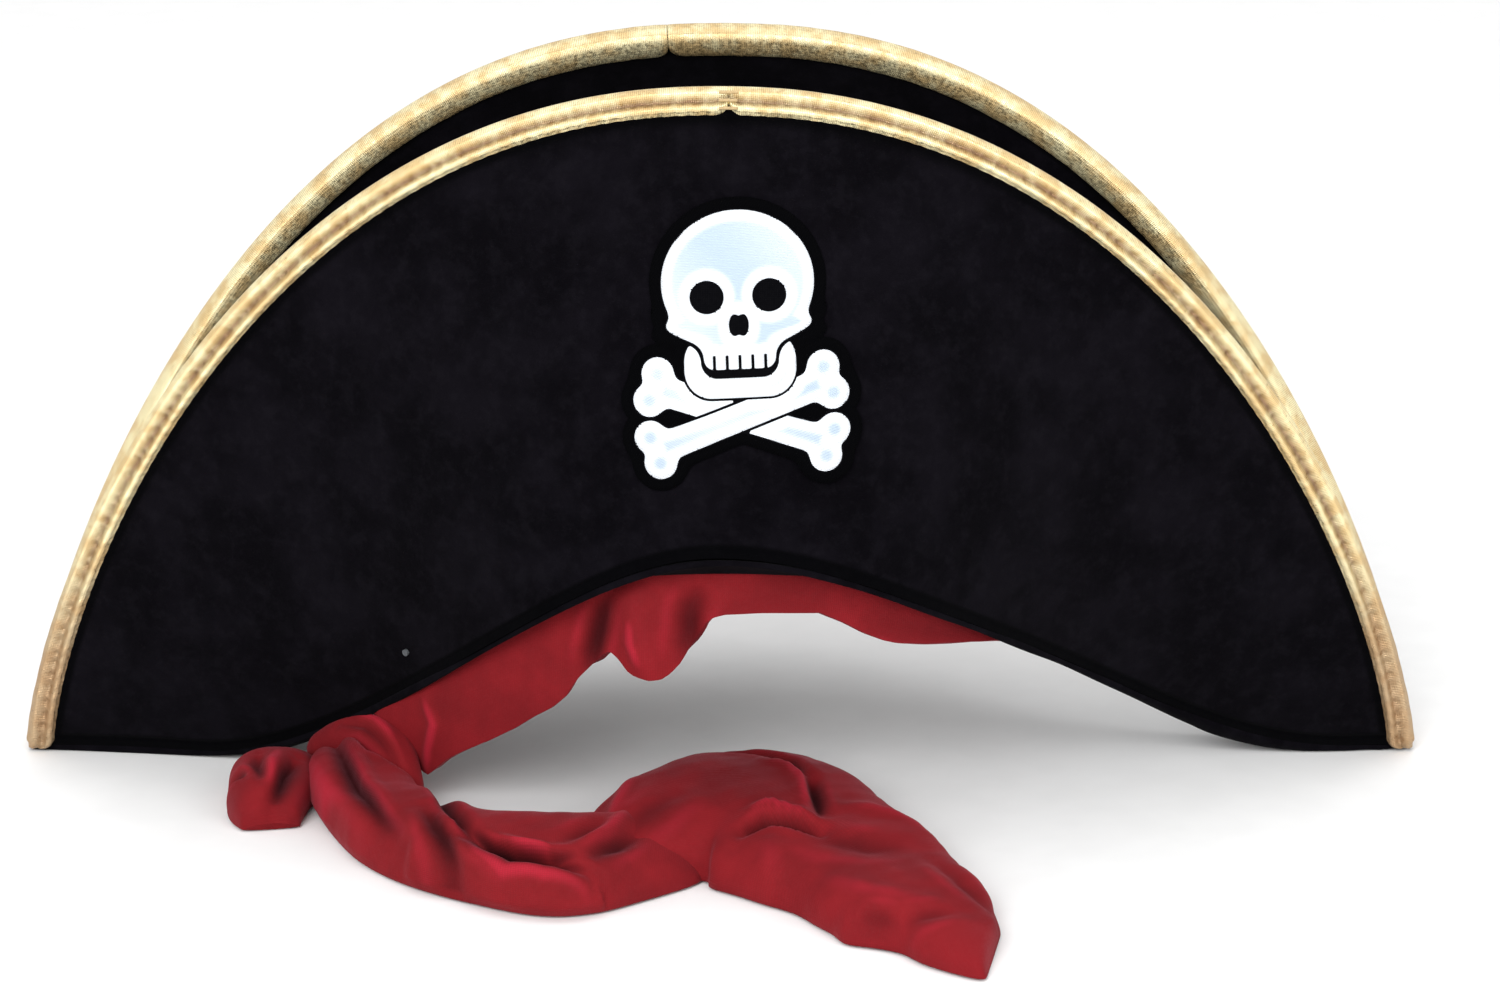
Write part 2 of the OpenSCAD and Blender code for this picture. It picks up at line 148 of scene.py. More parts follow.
def normals_of(piece: Piece) -> Array:
    """All vertex normals of a piece as rows of x, y, z.

    Args:
        piece: The mesh piece.

    Returns:
        One row per vertex.
    """
    flat = np.empty(len(piece.data.vertices) * 3)
    piece.data.vertex_normals.foreach_get("vector", flat)
    return flat.reshape(-1, 3)


def set_points(piece: Piece, points: Array) -> None:
    """Move the vertices of a piece to new positions."""
    piece.data.vertices.foreach_set("co", np.ascontiguousarray(points).ravel())
    piece.data.update()


def add_attribute(piece: Piece, name: str, values: Array) -> None:
    """Store one number per vertex for the materials to read."""
    layer = piece.data.attributes.new(name, "FLOAT", "POINT")
    layer.data.foreach_set("value", np.ascontiguousarray(values, dtype=np.float32))


def add_uv(piece: Piece, uv: Array) -> None:
    """Store a UV map from one u, v pair per vertex, in metres over the cloth.

    Args:
        piece: The mesh piece.
        uv: One row of u and v per vertex.
    """
    if piece.data.uv_layers:
        layer = piece.data.uv_layers[0]
    else:
        layer = piece.data.uv_layers.new(name="cloth")
    loops = np.empty(len(piece.data.loops), dtype=np.int32)
    piece.data.loops.foreach_get("vertex_index", loops)
    layer.data.foreach_set("uv", np.ascontiguousarray(uv[loops], dtype=np.float32).ravel())


def new_grid(name: str, columns: int, rows: int) -> tuple[Piece, Array, Array]:
    """Add a grid primitive whose vertices are then placed by rule.

    Args:
        name: The piece's name.
        columns: Faces along u.
        rows: Faces along v.

    Returns:
        The object, and the u and v of each vertex, from 0 to 1.
    """
    clear_selection()
    bpy.ops.mesh.primitive_grid_add(x_subdivisions=columns, y_subdivisions=rows, size=1)
    piece = bpy.context.active_object
    piece.name = name
    points = points_of(piece)
    return piece, points[:, 0] + 0.5, points[:, 1] + 0.5


def weld(piece: Piece, distance: float = 1e-6) -> None:
    """Merge vertices that lie on each other and close what is still open.

    Args:
        piece: The mesh piece.
        distance: Largest gap to merge, in metres.
    """
    take(piece)
    bpy.ops.object.mode_set(mode="EDIT")
    bpy.ops.mesh.select_all(action="SELECT")
    bpy.ops.mesh.remove_doubles(threshold=distance)
    bpy.ops.object.mode_set(mode="OBJECT")


def face_outwards(piece: Piece, fill: bool = False) -> None:
    """Fill open ends if asked, and make every face of a closed piece look out.

    Args:
        piece: The mesh piece.
        fill: Whether open ends are closed first.
    """
    take(piece)
    bpy.ops.object.mode_set(mode="EDIT")
    bpy.ops.mesh.select_all(action="SELECT")
    if fill:
        bpy.ops.mesh.fill_holes(sides=0)
    bpy.ops.mesh.normals_make_consistent(inside=False)
    bpy.ops.object.mode_set(mode="OBJECT")


def smooth(piece: Piece, angle: float = 50.0) -> None:
    """Shade a piece smooth, except at edges sharper than an angle in degrees."""
    take(piece)
    bpy.ops.object.shade_smooth_by_angle(angle=math.radians(angle))


def dress(piece: Piece, material: bpy.types.Material) -> None:
    """Give a piece its material.

    Args:
        piece: The mesh piece.
        material: The finish it wears.
    """
    piece.data.materials.clear()
    piece.data.materials.append(material)


def bump_field(points: Array, seeds: Sequence[tuple[float, float, float, float]]) -> Array:
    """A soft uneven field from a few plane waves, between about -1 and 1.

    Args:
        points: Rows of x, y, z.
        seeds: For each wave, its three wave numbers per metre and its phase.

    Returns:
        One number per point.
    """
    total = np.zeros(len(points))
    for wave_x, wave_y, wave_z, phase in seeds:
        total += np.sin(points @ np.array([wave_x, wave_y, wave_z]) + phase)
    return total / len(seeds)


def ease(value: Array, low: float, high: float) -> Array:
    """Smooth step from 0 at low to 1 at high."""
    t = np.clip((value - low) / (high - low), 0.0, 1.0)
    return t * t * (3 - 2 * t)


# ------------------------------------------------------------- hat's shaping


@dataclass(frozen=True)
class HatForm:
    """Where the flaps, the fold and their edges lie, as in the model."""

    half_len: float
    front_h: float
    back_h: float
    brow_z: float
    brow_y: float
    brim_t: float = 2.0 * MM
    half_gap: float = 47.0 * MM
    swell: float = 11.0 * MM
    felt_t: float = 2.4 * MM
    buckram_t: float = 0.9 * MM
    facing_t: float = 1.3 * MM
    tip_y: float = 5.2 * MM
    fold_left: float = 160.0 * MM
    fold_right: float = 192.0 * MM
    turn_x: float = 105.0 * MM
    arch_p: float = 2.2
    arch_q: float = 0.71
    back_extra: float = 0.1
    end_gap: float = 0.4 * MM

    @classmethod
    def from_frame(cls) -> "HatForm":
        """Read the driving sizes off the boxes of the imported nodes.

        Returns:
            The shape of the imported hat.
        """
        front_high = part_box("front_flap")[1]
        brim_low, brim_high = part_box("under_brim")
        return cls(
            half_len=front_high.x + cls.end_gap,
            front_h=front_high.z,
            back_h=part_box("back_flap")[1].z,
            brow_z=brim_high.z - cls.brim_t,
            brow_y=-brim_low.y,
        )

    @property
    def flap_t(self) -> float:
        """Thickness of a whole flap."""
        return self.felt_t + self.buckram_t + self.facing_t

    @property
    def end_x(self) -> float:
        """X of a flap's last column."""
        return self.half_len - self.end_gap

    def inward(self, x: Array) -> Array:
        """1 at the middle of the hat, 0 at the tips."""
        return np.maximum(0.0, 1 - (x / self.half_len) ** 2)

    def fold_z(self, x: Array) -> Array:
        """Height of the brim's fold.

        Args:
            x: Places along the hat.

        Returns:
            One height per place.
        """
        reach = np.where(x < 0, self.fold_left, self.fold_right)
        share = np.minimum(1.0, np.abs(x) / reach)
        return self.brow_z * (0.5 + 0.5 * np.cos(math.pi * share))

    def fold_y(self, x: Array) -> Array:
        """Distance of the brim's fold from the middle plane."""
        spread = (self.brow_y - self.tip_y) * self.inward(x)
        return self.tip_y + spread / (1 + (x / self.turn_x) ** 4)

    def arch(self, side: Side) -> tuple[float, float]:
        """Height and squareness of a flap's arch.

        Args:
            side: Which flap.

        Returns:
            The height and the exponent.
        """
        if side is Side.FRONT:
            return self.front_h, self.arch_p
        return self.back_h, self.arch_p + self.back_extra

    def edge_z(self, x: Array, side: Side) -> Array:
        """Height of a flap's top edge.

        Args:
            x: Places along the hat.
            side: Which flap.

        Returns:
            One height per place.
        """
        height, power = self.arch(side)
        rest = np.maximum(0.0, 1 - (np.abs(x) / self.half_len) ** power)
        return height * rest ** self.arch_q

    def edge_y(self, x: Array) -> Array:
        """Distance of a flap's top edge from the middle plane."""
        return self.tip_y + (self.half_gap - self.tip_y) * (1 - (np.abs(x) / self.half_len) ** 3)

    def flap_y(self, x: Array, z: Array, side: Side) -> Array:
        """Distance of a flap's outer face from the middle plane at x, z.

        Args:
            x: Places along the hat.
            z: Heights above the table.
            side: Which flap.

        Returns:
            One distance per place.
        """
        low = self.fold_z(x) + self.brim_t
        high = self.edge_z(x, side)
        v = np.clip((z - low) / np.maximum(MM, high - low), 0.0, 1.0)
        swell = self.swell * 4 * v * (1 - v) * self.inward(x) ** 0.75
        return self.fold_y(x) * (1 - v) + self.edge_y(x) * v + swell

    def flap_out(self, x: Array, z: Array, side: Side) -> Array:
        """Outward directions of a flap's outer face, never leaning to the middle.

        Args:
            x: Places along the hat.
            z: Heights above the table.
            side: Which flap.

        Returns:
            Rows of unit directions.
        """
        step = 0.2 * MM
        a = np.clip(x, step - self.half_len, self.half_len - step)
        dx = (self.flap_y(a + step / 2, z, side) - self.flap_y(a - step / 2, z, side)) / step
        dz = (self.flap_y(a, z + step, side) - self.flap_y(a, z - step, side)) / (2 * step)
        lean = np.where(x < 0, np.minimum(0.0, -dx), np.maximum(0.0, -dx))
        out = np.stack([lean, np.full_like(lean, float(side.value)), -dz], axis=1)
        return out / np.linalg.norm(out, axis=1)[:, None]

    def point(self, x: Array, z: Array, side: Side, off: Array | float) -> Array:
        """Points off a flap's outer face.

        Args:
            x: Places along the hat.
            z: Heights.
            side: The flap.
            off: Distance off the face, positive outwards.

        Returns:
            Rows of x, y, z.
        """
        base = np.stack([x, side.value * self.flap_y(x, z, side), z], axis=1)
        return base + np.reshape(off, (-1, 1)) * self.flap_out(x, z, side)

    def arch_xz(self, angle: Array, side: Side) -> Array:
        """Points of a flap's top edge at angles in degrees, 0 at the right tip.

        Args:
            angle: Angles in degrees.
            side: Which flap.

        Returns:
            Rows of x and z.
        """
        height, power = self.arch(side)
        c, s = np.cos(np.radians(angle)), np.sin(np.radians(angle))
        x = self.half_len * np.sign(c) * np.abs(c) ** (2 / power)
        return np.stack([x, height * np.maximum(s, 0.0) ** (2 * self.arch_q)], axis=1)

    def arch_angle(self, x: float, side: Side) -> float:
        """Angle on the arch of a place along the hat."""
        c = (abs(x) / self.half_len) ** (self.arch(side)[1] / 2)
        return math.degrees(math.acos(-c if x < 0 else c))


# ----------------------------------------------------------------- finishes


class Shader:
    """A material's node tree, wired by short calls."""

    def __init__(self, name: str) -> None:
        """Start a material that holds a Principled shader and its output.

        Args:
            name: The material's name.
        """
        self.material = bpy.data.materials.new(name)
        self.material.use_nodes = True
        self.tree = self.material.node_tree
        self.tree.nodes.clear()
        self.bsdf = self.tree.nodes.new("ShaderNodeBsdfPrincipled")
        output = self.tree.nodes.new("ShaderNodeOutputMaterial")
        self.tree.links.new(self.bsdf.outputs[0], output.inputs["Surface"])

    def node(self, kind: str, **settings: object) -> bpy.types.Node:
        """Add a node and set its properties.

        Args:
            kind: The node's type without its prefix.
            settings: Properties to set on it.

        Returns:
            The new node.
        """
        made = self.tree.nodes.new(f"ShaderNode{kind}")
        for name, value in settings.items():
            setattr(made, name, value)
        return made

    def feed(self, target: Socket, source: Socket | float | Sequence[float]) -> None:
        """Link a socket to a source, or set its value.

        Args:
            target: The input.
            source: A socket, or the value itself.
        """
        if isinstance(source, bpy.types.NodeSocket):
            self.tree.links.new(source, target)
        else:
            target.default_value = source

    def plain(self, **values: object) -> None:
        """Set uniform values on the shader's own sockets."""
        for name, value in values.items():
            self.bsdf.inputs[name.replace("_", " ")].default_value = value

    def set(self, name: str, source: Socket | float | Sequence[float]) -> None:
        """Feed one of the shader's sockets."""
        self.feed(self.bsdf.inputs[name], source)

    def place(self, scale: tuple[float, float, float] = (1, 1, 1), uv: bool = False) -> Socket:
        """Object coordinates, or the piece's UV map, scaled along each axis.

        Args:
            scale: Factor along each axis.
            uv: Whether the UV map is read.

        Returns:
            The coordinates.
        """
        source = self.node("TexCoord").outputs["UV" if uv else "Object"]
        mapping = self.node("Mapping")
        self.feed(mapping.inputs["Vector"], source)
        mapping.inputs["Scale"].default_value = scale
        return mapping.outputs[0]

    def noise(self, vector: Socket, scale: float, detail: float = 3, rough: float = 0.5) -> Socket:
        """A noise value at a scale in cells per metre.

        Args:
            vector: Where the pattern is read.
            scale: Cells per metre.
            detail: How many finer layers it has.
            rough: How strong the finer layers are.

        Returns:
            The noise value.
        """
        made = self.node("TexNoise")
        self.feed(made.inputs["Vector"], vector)
        made.inputs["Scale"].default_value = scale
        made.inputs["Detail"].default_value = detail
        made.inputs["Roughness"].default_value = rough
        return made.outputs[0]

    def waves(self, vector: Socket, pitch: float, axis: str = "X", wobble: float = 0.0) -> Socket:
        """Straight bands at a pitch in metres.

        Args:
            vector: Where the pattern is read.
            pitch: Width of one band in metres.
            axis: The axis that the bands cross.
            wobble: How uneven they are.

        Returns:
            The wave value.
        """
        made = self.node("TexWave", wave_type="BANDS", bands_direction=axis)
        self.feed(made.inputs["Vector"], vector)
        made.inputs["Scale"].default_value = math.pi / 10 / pitch
        made.inputs["Distortion"].default_value = wobble
        made.inputs["Detail"].default_value = 1
        return made.outputs["Fac"]

    def attribute(self, name: str) -> Socket:
        """A number stored on the piece's vertices."""
        return self.node("Attribute", attribute_name=name).outputs["Fac"]

    def math(self, operation: str, a: Socket | float, b: Socket | float = 0.0) -> Socket:
        """One arithmetic step.

        Args:
            operation: Name of the step.
            a: First number.
            b: Second number.

        Returns:
            The result.
        """
        made = self.node("Math", operation=operation)
        self.feed(made.inputs[0], a)
        self.feed(made.inputs[1], b)
        return made.outputs[0]

    def span(self, value: Socket, low: float, high: float, to_low: float, to_high: float) -> Socket:
        """Map a value from one range to another, clamped.

        Args:
            value: The input.
            low: The input's low end.
            high: The input's high end.
            to_low: Result at the low end.
            to_high: Result at the high end.

        Returns:
            The mapped value.
        """
        made = self.node("MapRange", interpolation_type="SMOOTHSTEP")
        for socket, number in zip(made.inputs[1:5], (low, high, to_low, to_high)):
            socket.default_value = number
        self.feed(made.inputs[0], value)
        return made.outputs[0]

    def blend(self, factor: Socket | float, a: object, b: object, mode: str = "MIX") -> Socket:
        """Mix two colours.

        Args:
            factor: Share of the second colour.
            a: First colour.
            b: Second colour.
            mode: How they mix.

        Returns:
            The mixed colour.
        """
        made = self.node("Mix", data_type="RGBA", blend_type=mode)
        self.feed(made.inputs[0], factor)
        self.feed(made.inputs[6], a)
        self.feed(made.inputs[7], b)
        return made.outputs[2]

    def bump(self, height: Socket, distance: float, strength: float = 1.0,
             under: Socket | None = None) -> Socket:
        """Turn a height into a normal, over another normal if one is given.

        Args:
            height: The height value.
            distance: Height of a full step in metres.
            strength: How much of it shows.
            under: A normal to start from.

        Returns:
            The new normal.
        """
        made = self.node("Bump")
        made.inputs["Strength"].default_value = strength
        made.inputs["Distance"].default_value = distance
        self.feed(made.inputs["Height"], height)
        if under is not None:
            self.feed(made.inputs["Normal"], under)
        return made.outputs[0]


Colour = tuple[float, float, float, float]


@dataclass(frozen=True)
class FeltFinish:
    """Pressed wool felt: matted fibres, faint cloudy patches, painted shade along the binding and
    the fold.
    """

    name: str = "felt_black"
    deep: Colour = (0.0016, 0.0013, 0.0021, 1)
    cloudy: Colour = (0.0036, 0.0030, 0.0046, 1)
    # colour of the painted shade along the binding and the hem fold
    edge: Colour = (0.0006, 0.0006, 0.0009, 1)
    fibre: Colour = (0.009, 0.008, 0.011, 1)

    def build(self) -> bpy.types.Material:
        """Make the material.

        Returns:
            The felt material.
        """
        s = Shader(self.name)
        place = s.place()
        clouds = s.span(s.noise(place, 38, 4, 0.62), 0.36, 0.68, 0.0, 1.0)
        mats = s.noise(place, 420, 3, 0.6)
        fibres = s.noise(s.place((1.0, 1.0, 3.0)), 1500, 2, 0.7)
        base = s.blend(clouds, self.deep, self.cloudy)
        flecks = s.span(s.noise(place, 190, 3, 0.7), 0.44, 0.70, 0.0, 0.20)
        base = s.blend(flecks, base, self.fibre)
        base = s.blend(s.span(fibres, 0.60, 0.80, 0.0, 0.55), base, self.fibre)
        # painted shade: the felt is darkened towards near black next to the binding and the fold
        margin = s.span(s.attribute("margin"), 0.0, 1.0, 0.0, 0.88)
        s.set("Base Color", s.blend(margin, base, self.edge))
        s.set("Roughness", s.span(mats, 0.3, 0.7, 0.86, 1.0))
        s.plain(Specular_IOR_Level=0.02, Sheen_Weight=0.012, Sheen_Roughness=0.5)
        rough = s.bump(mats, 0.35 * MM, 0.55)
        s.set("Normal", s.bump(fibres, 0.16 * MM, 0.6, rough))
        return s.material


@dataclass(frozen=True)
class BraidFinish:
    """Metallic ribbon: fine cross ribs, painted shade in its middle groove, so the ridges stand
    paler.
    """

    name: str = "gold_braid"
    pale: Colour = (0.96, 0.86, 0.52, 1)
    warm: Colour = (0.78, 0.57, 0.27, 1)
    # colour of the rib gaps and of the painted shade in the groove
    rib_gap_and_groove_shade: Colour = (0.21, 0.12, 0.065, 1)
    copper: Colour = (0.38, 0.225, 0.125, 1)
    rib: float = 0.55 * MM

    def build(self) -> bpy.types.Material:
        """Make the material.

        Returns:
            The braid material.
        """
        s = Shader(self.name)
        cloth = s.place(uv=True)
        place = s.place()
        ribs = s.waves(cloth, self.rib, "X", 1.2)
        yarns = s.waves(cloth, self.rib * 1.6, "Y", 0.8)
        patches = s.noise(place, 130, 3, 0.6)
        glints = s.noise(place, 900, 2, 0.7)
        groove = s.attribute("groove")
        ends = s.attribute("tip")
        tone = s.blend(s.span(patches, 0.36, 0.62, 0.0, 1.0), self.pale, self.warm)
        tone = s.blend(s.span(ends, 0.2, 1.0, 0.0, 0.8), tone, self.copper)
        # painted shade: the groove is darkened towards the dark groove colour, less at the tips
        hollow_shade = s.math("MULTIPLY", groove, s.span(patches, 0.3, 0.7, 0.75, 1.0))
        hollow_shade = s.math("MULTIPLY", hollow_shade, s.span(ends, 0.2, 1.0, 1.0, 0.3))
        tone = s.blend(hollow_shade, tone, self.rib_gap_and_groove_shade)
        tone = s.blend(s.span(ribs, 0.1, 0.5, 0.35, 0.0), tone, self.rib_gap_and_groove_shade)
        s.set("Base Color", tone)
        s.set("Metallic", s.span(glints, 0.3, 0.7, 0.35, 0.8))
        s.set("Roughness", s.span(glints, 0.35, 0.72, 0.5, 0.26))
        s.plain(Specular_IOR_Level=0.5, Sheen_Weight=0.0)
        first = s.bump(ribs, 0.12 * MM, 0.8)
        second = s.bump(yarns, 0.06 * MM, 0.5, first)
        s.set("Normal", s.bump(glints, 0.08 * MM, 0.6, second))
        return s.material


@dataclass(frozen=True)
class ClothFinish:
    """Soft brushed jersey: fine knit, slight bloom, patchy dye, painted shade in its creases and
    painted highlights on its crests.
    """

    name: str = "red_cloth"
    mid: Colour = (0.215, 0.0095, 0.0135, 1)
    deep: Colour = (0.135, 0.0065, 0.0090, 1)
    # colour of the painted highlights on the fold crests
    painted_highlight: Colour = (0.480, 0.0190, 0.0420, 1)
    # colour of the painted shade in the creases
    dark: Colour = (0.014, 0.0012, 0.0020, 1)
    rib: float = 0.62 * MM

    def build(self) -> bpy.types.Material:
        """Make the material.

        Returns:
            The cloth material.
        """
        s = Shader(self.name)
        cloth = s.place(uv=True)
        place = s.place()
        wales = s.waves(cloth, self.rib, "X", 0.6)
        courses = s.waves(cloth, self.rib * 0.8, "Y", 0.8)
        knit = s.math("MULTIPLY", wales, courses)
        dye = s.noise(place, 42, 4, 0.6)
        lint = s.noise(place, 1300, 2, 0.7)
        tone = s.blend(s.span(dye, 0.35, 0.68, 0.0, 0.75), self.mid, self.deep)
        # painted highlight: fold crests and lips are lightened towards a pinker red
        tone = s.blend(s.span(s.attribute("crest_highlight"), 0.2, 1.0, 0.0, 0.6), tone, self.painted_highlight)
        tone = s.blend(s.span(knit, 0.0, 0.35, 0.30, 0.0), tone, self.deep)
        # painted shade: creases and the feet of laps are darkened towards the dark colour
        tone = s.blend(s.span(s.attribute("hollow_shade"), 0.12, 1.0, 0.0, 0.92), tone, self.dark)
        s.set("Base Color", tone)
        s.set("Roughness", s.span(lint, 0.3, 0.7, 0.72, 0.92))
        s.plain(Specular_IOR_Level=0.10, Sheen_Weight=0.13, Sheen_Roughness=0.38,
                Sheen_Tint=(1.0, 0.30, 0.38, 1))
        first = s.bump(knit, 0.10 * MM, 0.55)
        s.set("Normal", s.bump(lint, 0.07 * MM, 0.5, first))
        return s.material


@dataclass(frozen=True)
class EmbroideryFinish:
    """Satin embroidery: parallel glossy threads along the piece's own direction."""

    name: str = "white_thread"
    light: Colour = (0.82, 0.85, 0.89, 1)
    shade: Colour = (0.47, 0.58, 0.70, 1)
    gap: Colour = (0.36, 0.41, 0.48, 1)
    pitch: float = 0.42 * MM
    sheen: float = 0.1
    gloss: float = 0.42
    specular: float = 0.3

    def build(self) -> bpy.types.Material:
        """Make the material.

        Returns:
            The thread material.
        """
        s = Shader(self.name)
        cloth = s.place(uv=True)
        threads = s.waves(cloth, self.pitch, "X", 0.5)
        strands = s.noise(s.place((0.25, 6.0, 1.0), uv=True), 900, 2, 0.6)
        tone = s.blend(s.attribute("inner"), self.light, self.shade)
        tone = s.blend(s.span(threads, 0.0, 0.4, 0.5, 0.0), tone, self.gap)
        s.set("Base Color", tone)
        s.set("Roughness", s.span(strands, 0.3, 0.7, self.gloss, self.gloss + 0.2))
        s.plain(Specular_IOR_Level=self.specular, Sheen_Weight=self.sheen)
        first = s.bump(threads, 0.16 * MM, 0.9)
        s.set("Normal", s.bump(strands, 0.05 * MM, 0.5, first))
        return s.material


@dataclass(frozen=True)
class WovenFinish:
    """Plain weave for lining, buckram, label and threads."""

    name: str
    light: Colour
    dark: Colour
    pitch: float = 0.5 * MM
    rough: float = 0.8
    specular: float = 0.3

    def build(self) -> bpy.types.Material:
        """Make the material.

        Returns:
            The woven material.
        """
        s = Shader(self.name)
        place = s.place()
        warp = s.waves(place, self.pitch, "X", 0.4)
        weft = s.waves(place, self.pitch, "Z", 0.4)
        weave = s.math("MULTIPLY", warp, weft)
        fuzz = s.noise(place, 900, 3, 0.6)
        tone = s.blend(s.span(weave, 0.0, 0.4, 1.0, 0.0), self.light, self.dark)
        tone = s.blend(s.span(fuzz, 0.45, 0.7, 0.0, 0.4), tone, self.dark)
        s.set("Base Color", tone)
        s.set("Roughness", s.span(fuzz, 0.3, 0.7, self.rough - 0.1, self.rough + 0.1))
        s.plain(Specular_IOR_Level=self.specular)
        s.set("Normal", s.bump(weave, 0.12 * MM, 0.6))
        return s.material


class Wardrobe:
    """Every finish of the hat, built once."""

    def __init__(self) -> None:
        """Build the materials."""
        self.felt = FeltFinish().build()
        self.braid = BraidFinish().build()
        self.cloth = ClothFinish().build()
        self.white = EmbroideryFinish().build()
        black = (0.0014, 0.0014, 0.0020, 1)
        self.black_satin = EmbroideryFinish(
            "black_thread", (0.0012, 0.0012, 0.0016, 1), (0.0012, 0.0012, 0.0016, 1),
            (0.0004, 0.0004, 0.0006, 1), gloss=0.6, sheen=0.0, specular=0.015).build()
        self.lining = WovenFinish("lining_black", (0.0026, 0.0026, 0.0034, 1), black,
                                  specular=0.02).build()
        self.buckram = WovenFinish("buckram", (0.20, 0.19, 0.17, 1), (0.07, 0.065, 0.06, 1),
                                   1.1 * MM).build()
        self.gold_thread = WovenFinish("gold_thread", (0.70, 0.52, 0.26, 1),
                                       (0.35, 0.24, 0.12, 1), 0.3 * MM, 0.45).build()
        self.grey_thread = WovenFinish("grey_thread", (0.13, 0.14, 0.15, 1),
                                       (0.05, 0.055, 0.06, 1), 0.3 * MM).build()
        self.red_thread = WovenFinish("red_thread", (0.24, 0.015, 0.022, 1),
                                      (0.10, 0.008, 0.012, 1), 0.3 * MM).build()
        self.label = WovenFinish("label_white", (0.72, 0.70, 0.65, 1), (0.50, 0.48, 0.44, 1),
                                 0.35 * MM, 0.6).build()


# -------------------------------------------------------------------- flaps


@dataclass
class Flap:
    """One flap of the hat: outer felt, hidden stiffener and inner facing."""

    form: HatForm
    wardrobe: Wardrobe
    side: Side
    columns: int = 230
    edge_rows: int = 12
    field_rows: int = 70
    edge_row_h: float = 0.45 * MM
    hem_w: float = 3.0 * MM
    facing_trim: float = 7.0 * MM

    def heights(self, v: Array, rise: Array) -> Array:
        """Distance above the fold of each vertex: dense rows first, then even ones.

        Args:
            v: Row shares from 0 to 1.
            rise: Height of the flap at each vertex.

        Returns:
            Distances above the fold.
        """
        split = self.edge_rows / (self.edge_rows + self.field_rows)
        near = np.minimum(self.edge_rows * self.edge_row_h, 0.15 * rise)
        low = near * v / split
        high = near + (rise - near) * (v - split) / (1 - split)
        return np.where(v <= split, low, high)

    def layer(self, name: str, depth: float, thickness: float, trim: float, wavy: float) -> Piece:
        """Make one layer of the flap.

        Args:
            name: The piece's name.
            depth: Depth of its outer face under the flap's outer face.
            thickness: Its thickness.
            trim: How far it stops short of the tips.
            wavy: Height of its soft unevenness.

        Returns:
            The closed mesh piece.
        """
        form, side = self.form, self.side
        piece, u, v = new_grid(name, self.columns, self.edge_rows + self.field_rows)
        turn = u if side is Side.FRONT else 1 - u
        x = (trim - form.end_x) * np.cos(math.pi * turn)
        low = form.fold_z(x) + form.brim_t
        rise = form.edge_z(x, side) - low
        above = self.heights(v, rise)
        base = np.stack([x, np.zeros_like(x), low + above], axis=1)
        sag = bump_field(base, ((31, 0, 22, 0.4), (-47, 0, 35, 2.1), (18, 0, -58, 4.0),
                                (83, 0, 61, 1.3), (-24, 0, 12, 5.2)))
        calm = ease(np.minimum(above, rise - above), 0.0, 25 * MM)
        hem = np.exp(-((above - self.hem_w) / (0.45 * MM)) ** 2) * 0.35 * MM
        off = sag * wavy * calm - hem - depth
        set_points(piece, form.point(x, low + above, side, off))
        if thickness > 0:
            finish_modifier(piece, "SOLIDIFY", thickness=thickness, offset=-1.0)
        finish_modifier(piece, "BEVEL", width=0.45 * MM, segments=2, limit_method="ANGLE",
                        angle_limit=math.radians(55))
        self.mark_margin(piece)
        smooth(piece)
        return piece

    def mark_margin(self, piece: Piece) -> None:
        """Store how close each vertex is to the binding or the hem, from 0 to 1, as the share of
        painted shade there.

        Args:
            piece: The mesh piece.
        """
        form = self.form
        points = points_of(piece)
        x, z = points[:, 0], points[:, 2]
        hem = z - form.fold_z(x) - form.brim_t
        angles = np.linspace(0, 180, 721)
        edge = form.arch_xz(angles, self.side)
        gap = np.full(len(x), 1.0)
        for start in range(0, len(x), 4000):
            part = slice(start, start + 4000)
            dx = x[part, None] - edge[None, :, 0]
            dz = z[part, None] - edge[None, :, 1]
            gap[part] = np.sqrt((dx * dx + dz * dz).min(axis=1))
        width = Binding.width_at(form, x)
        near = np.minimum(hem - 0.6 * self.hem_w, gap - width)
        # painted shade: full close to the binding or the hem, fading out between 1.2 and 3.6 mm
        add_attribute(piece, "margin", 1 - ease(near, 1.2 * MM, 3.6 * MM))

    def build(self) -> list[Piece]:
        """Make both felt layers and dress the stiffener between them.

        Returns:
            The felt and the facing.
        """
        form, word = self.form, self.side.word
        felt = self.layer(f"{word}_flap_felt", 0.0, form.felt_t, 0.0, 0.55 * MM)
        facing = self.layer(f"{word}_facing_felt", form.felt_t + form.buckram_t, form.facing_t,
                            self.facing_trim, 0.2 * MM)
        for piece, node in ((felt, f"{word}_flap"), (facing, f"{word}_facing")):
            dress(piece, self.wardrobe.felt)
            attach(piece, HAT)
            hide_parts(node)
        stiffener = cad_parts[f"{word}_stiffener"]
        dress(stiffener, self.wardrobe.buckram)
        log.info("%s flap: felt and facing", word)
        return [felt, facing]


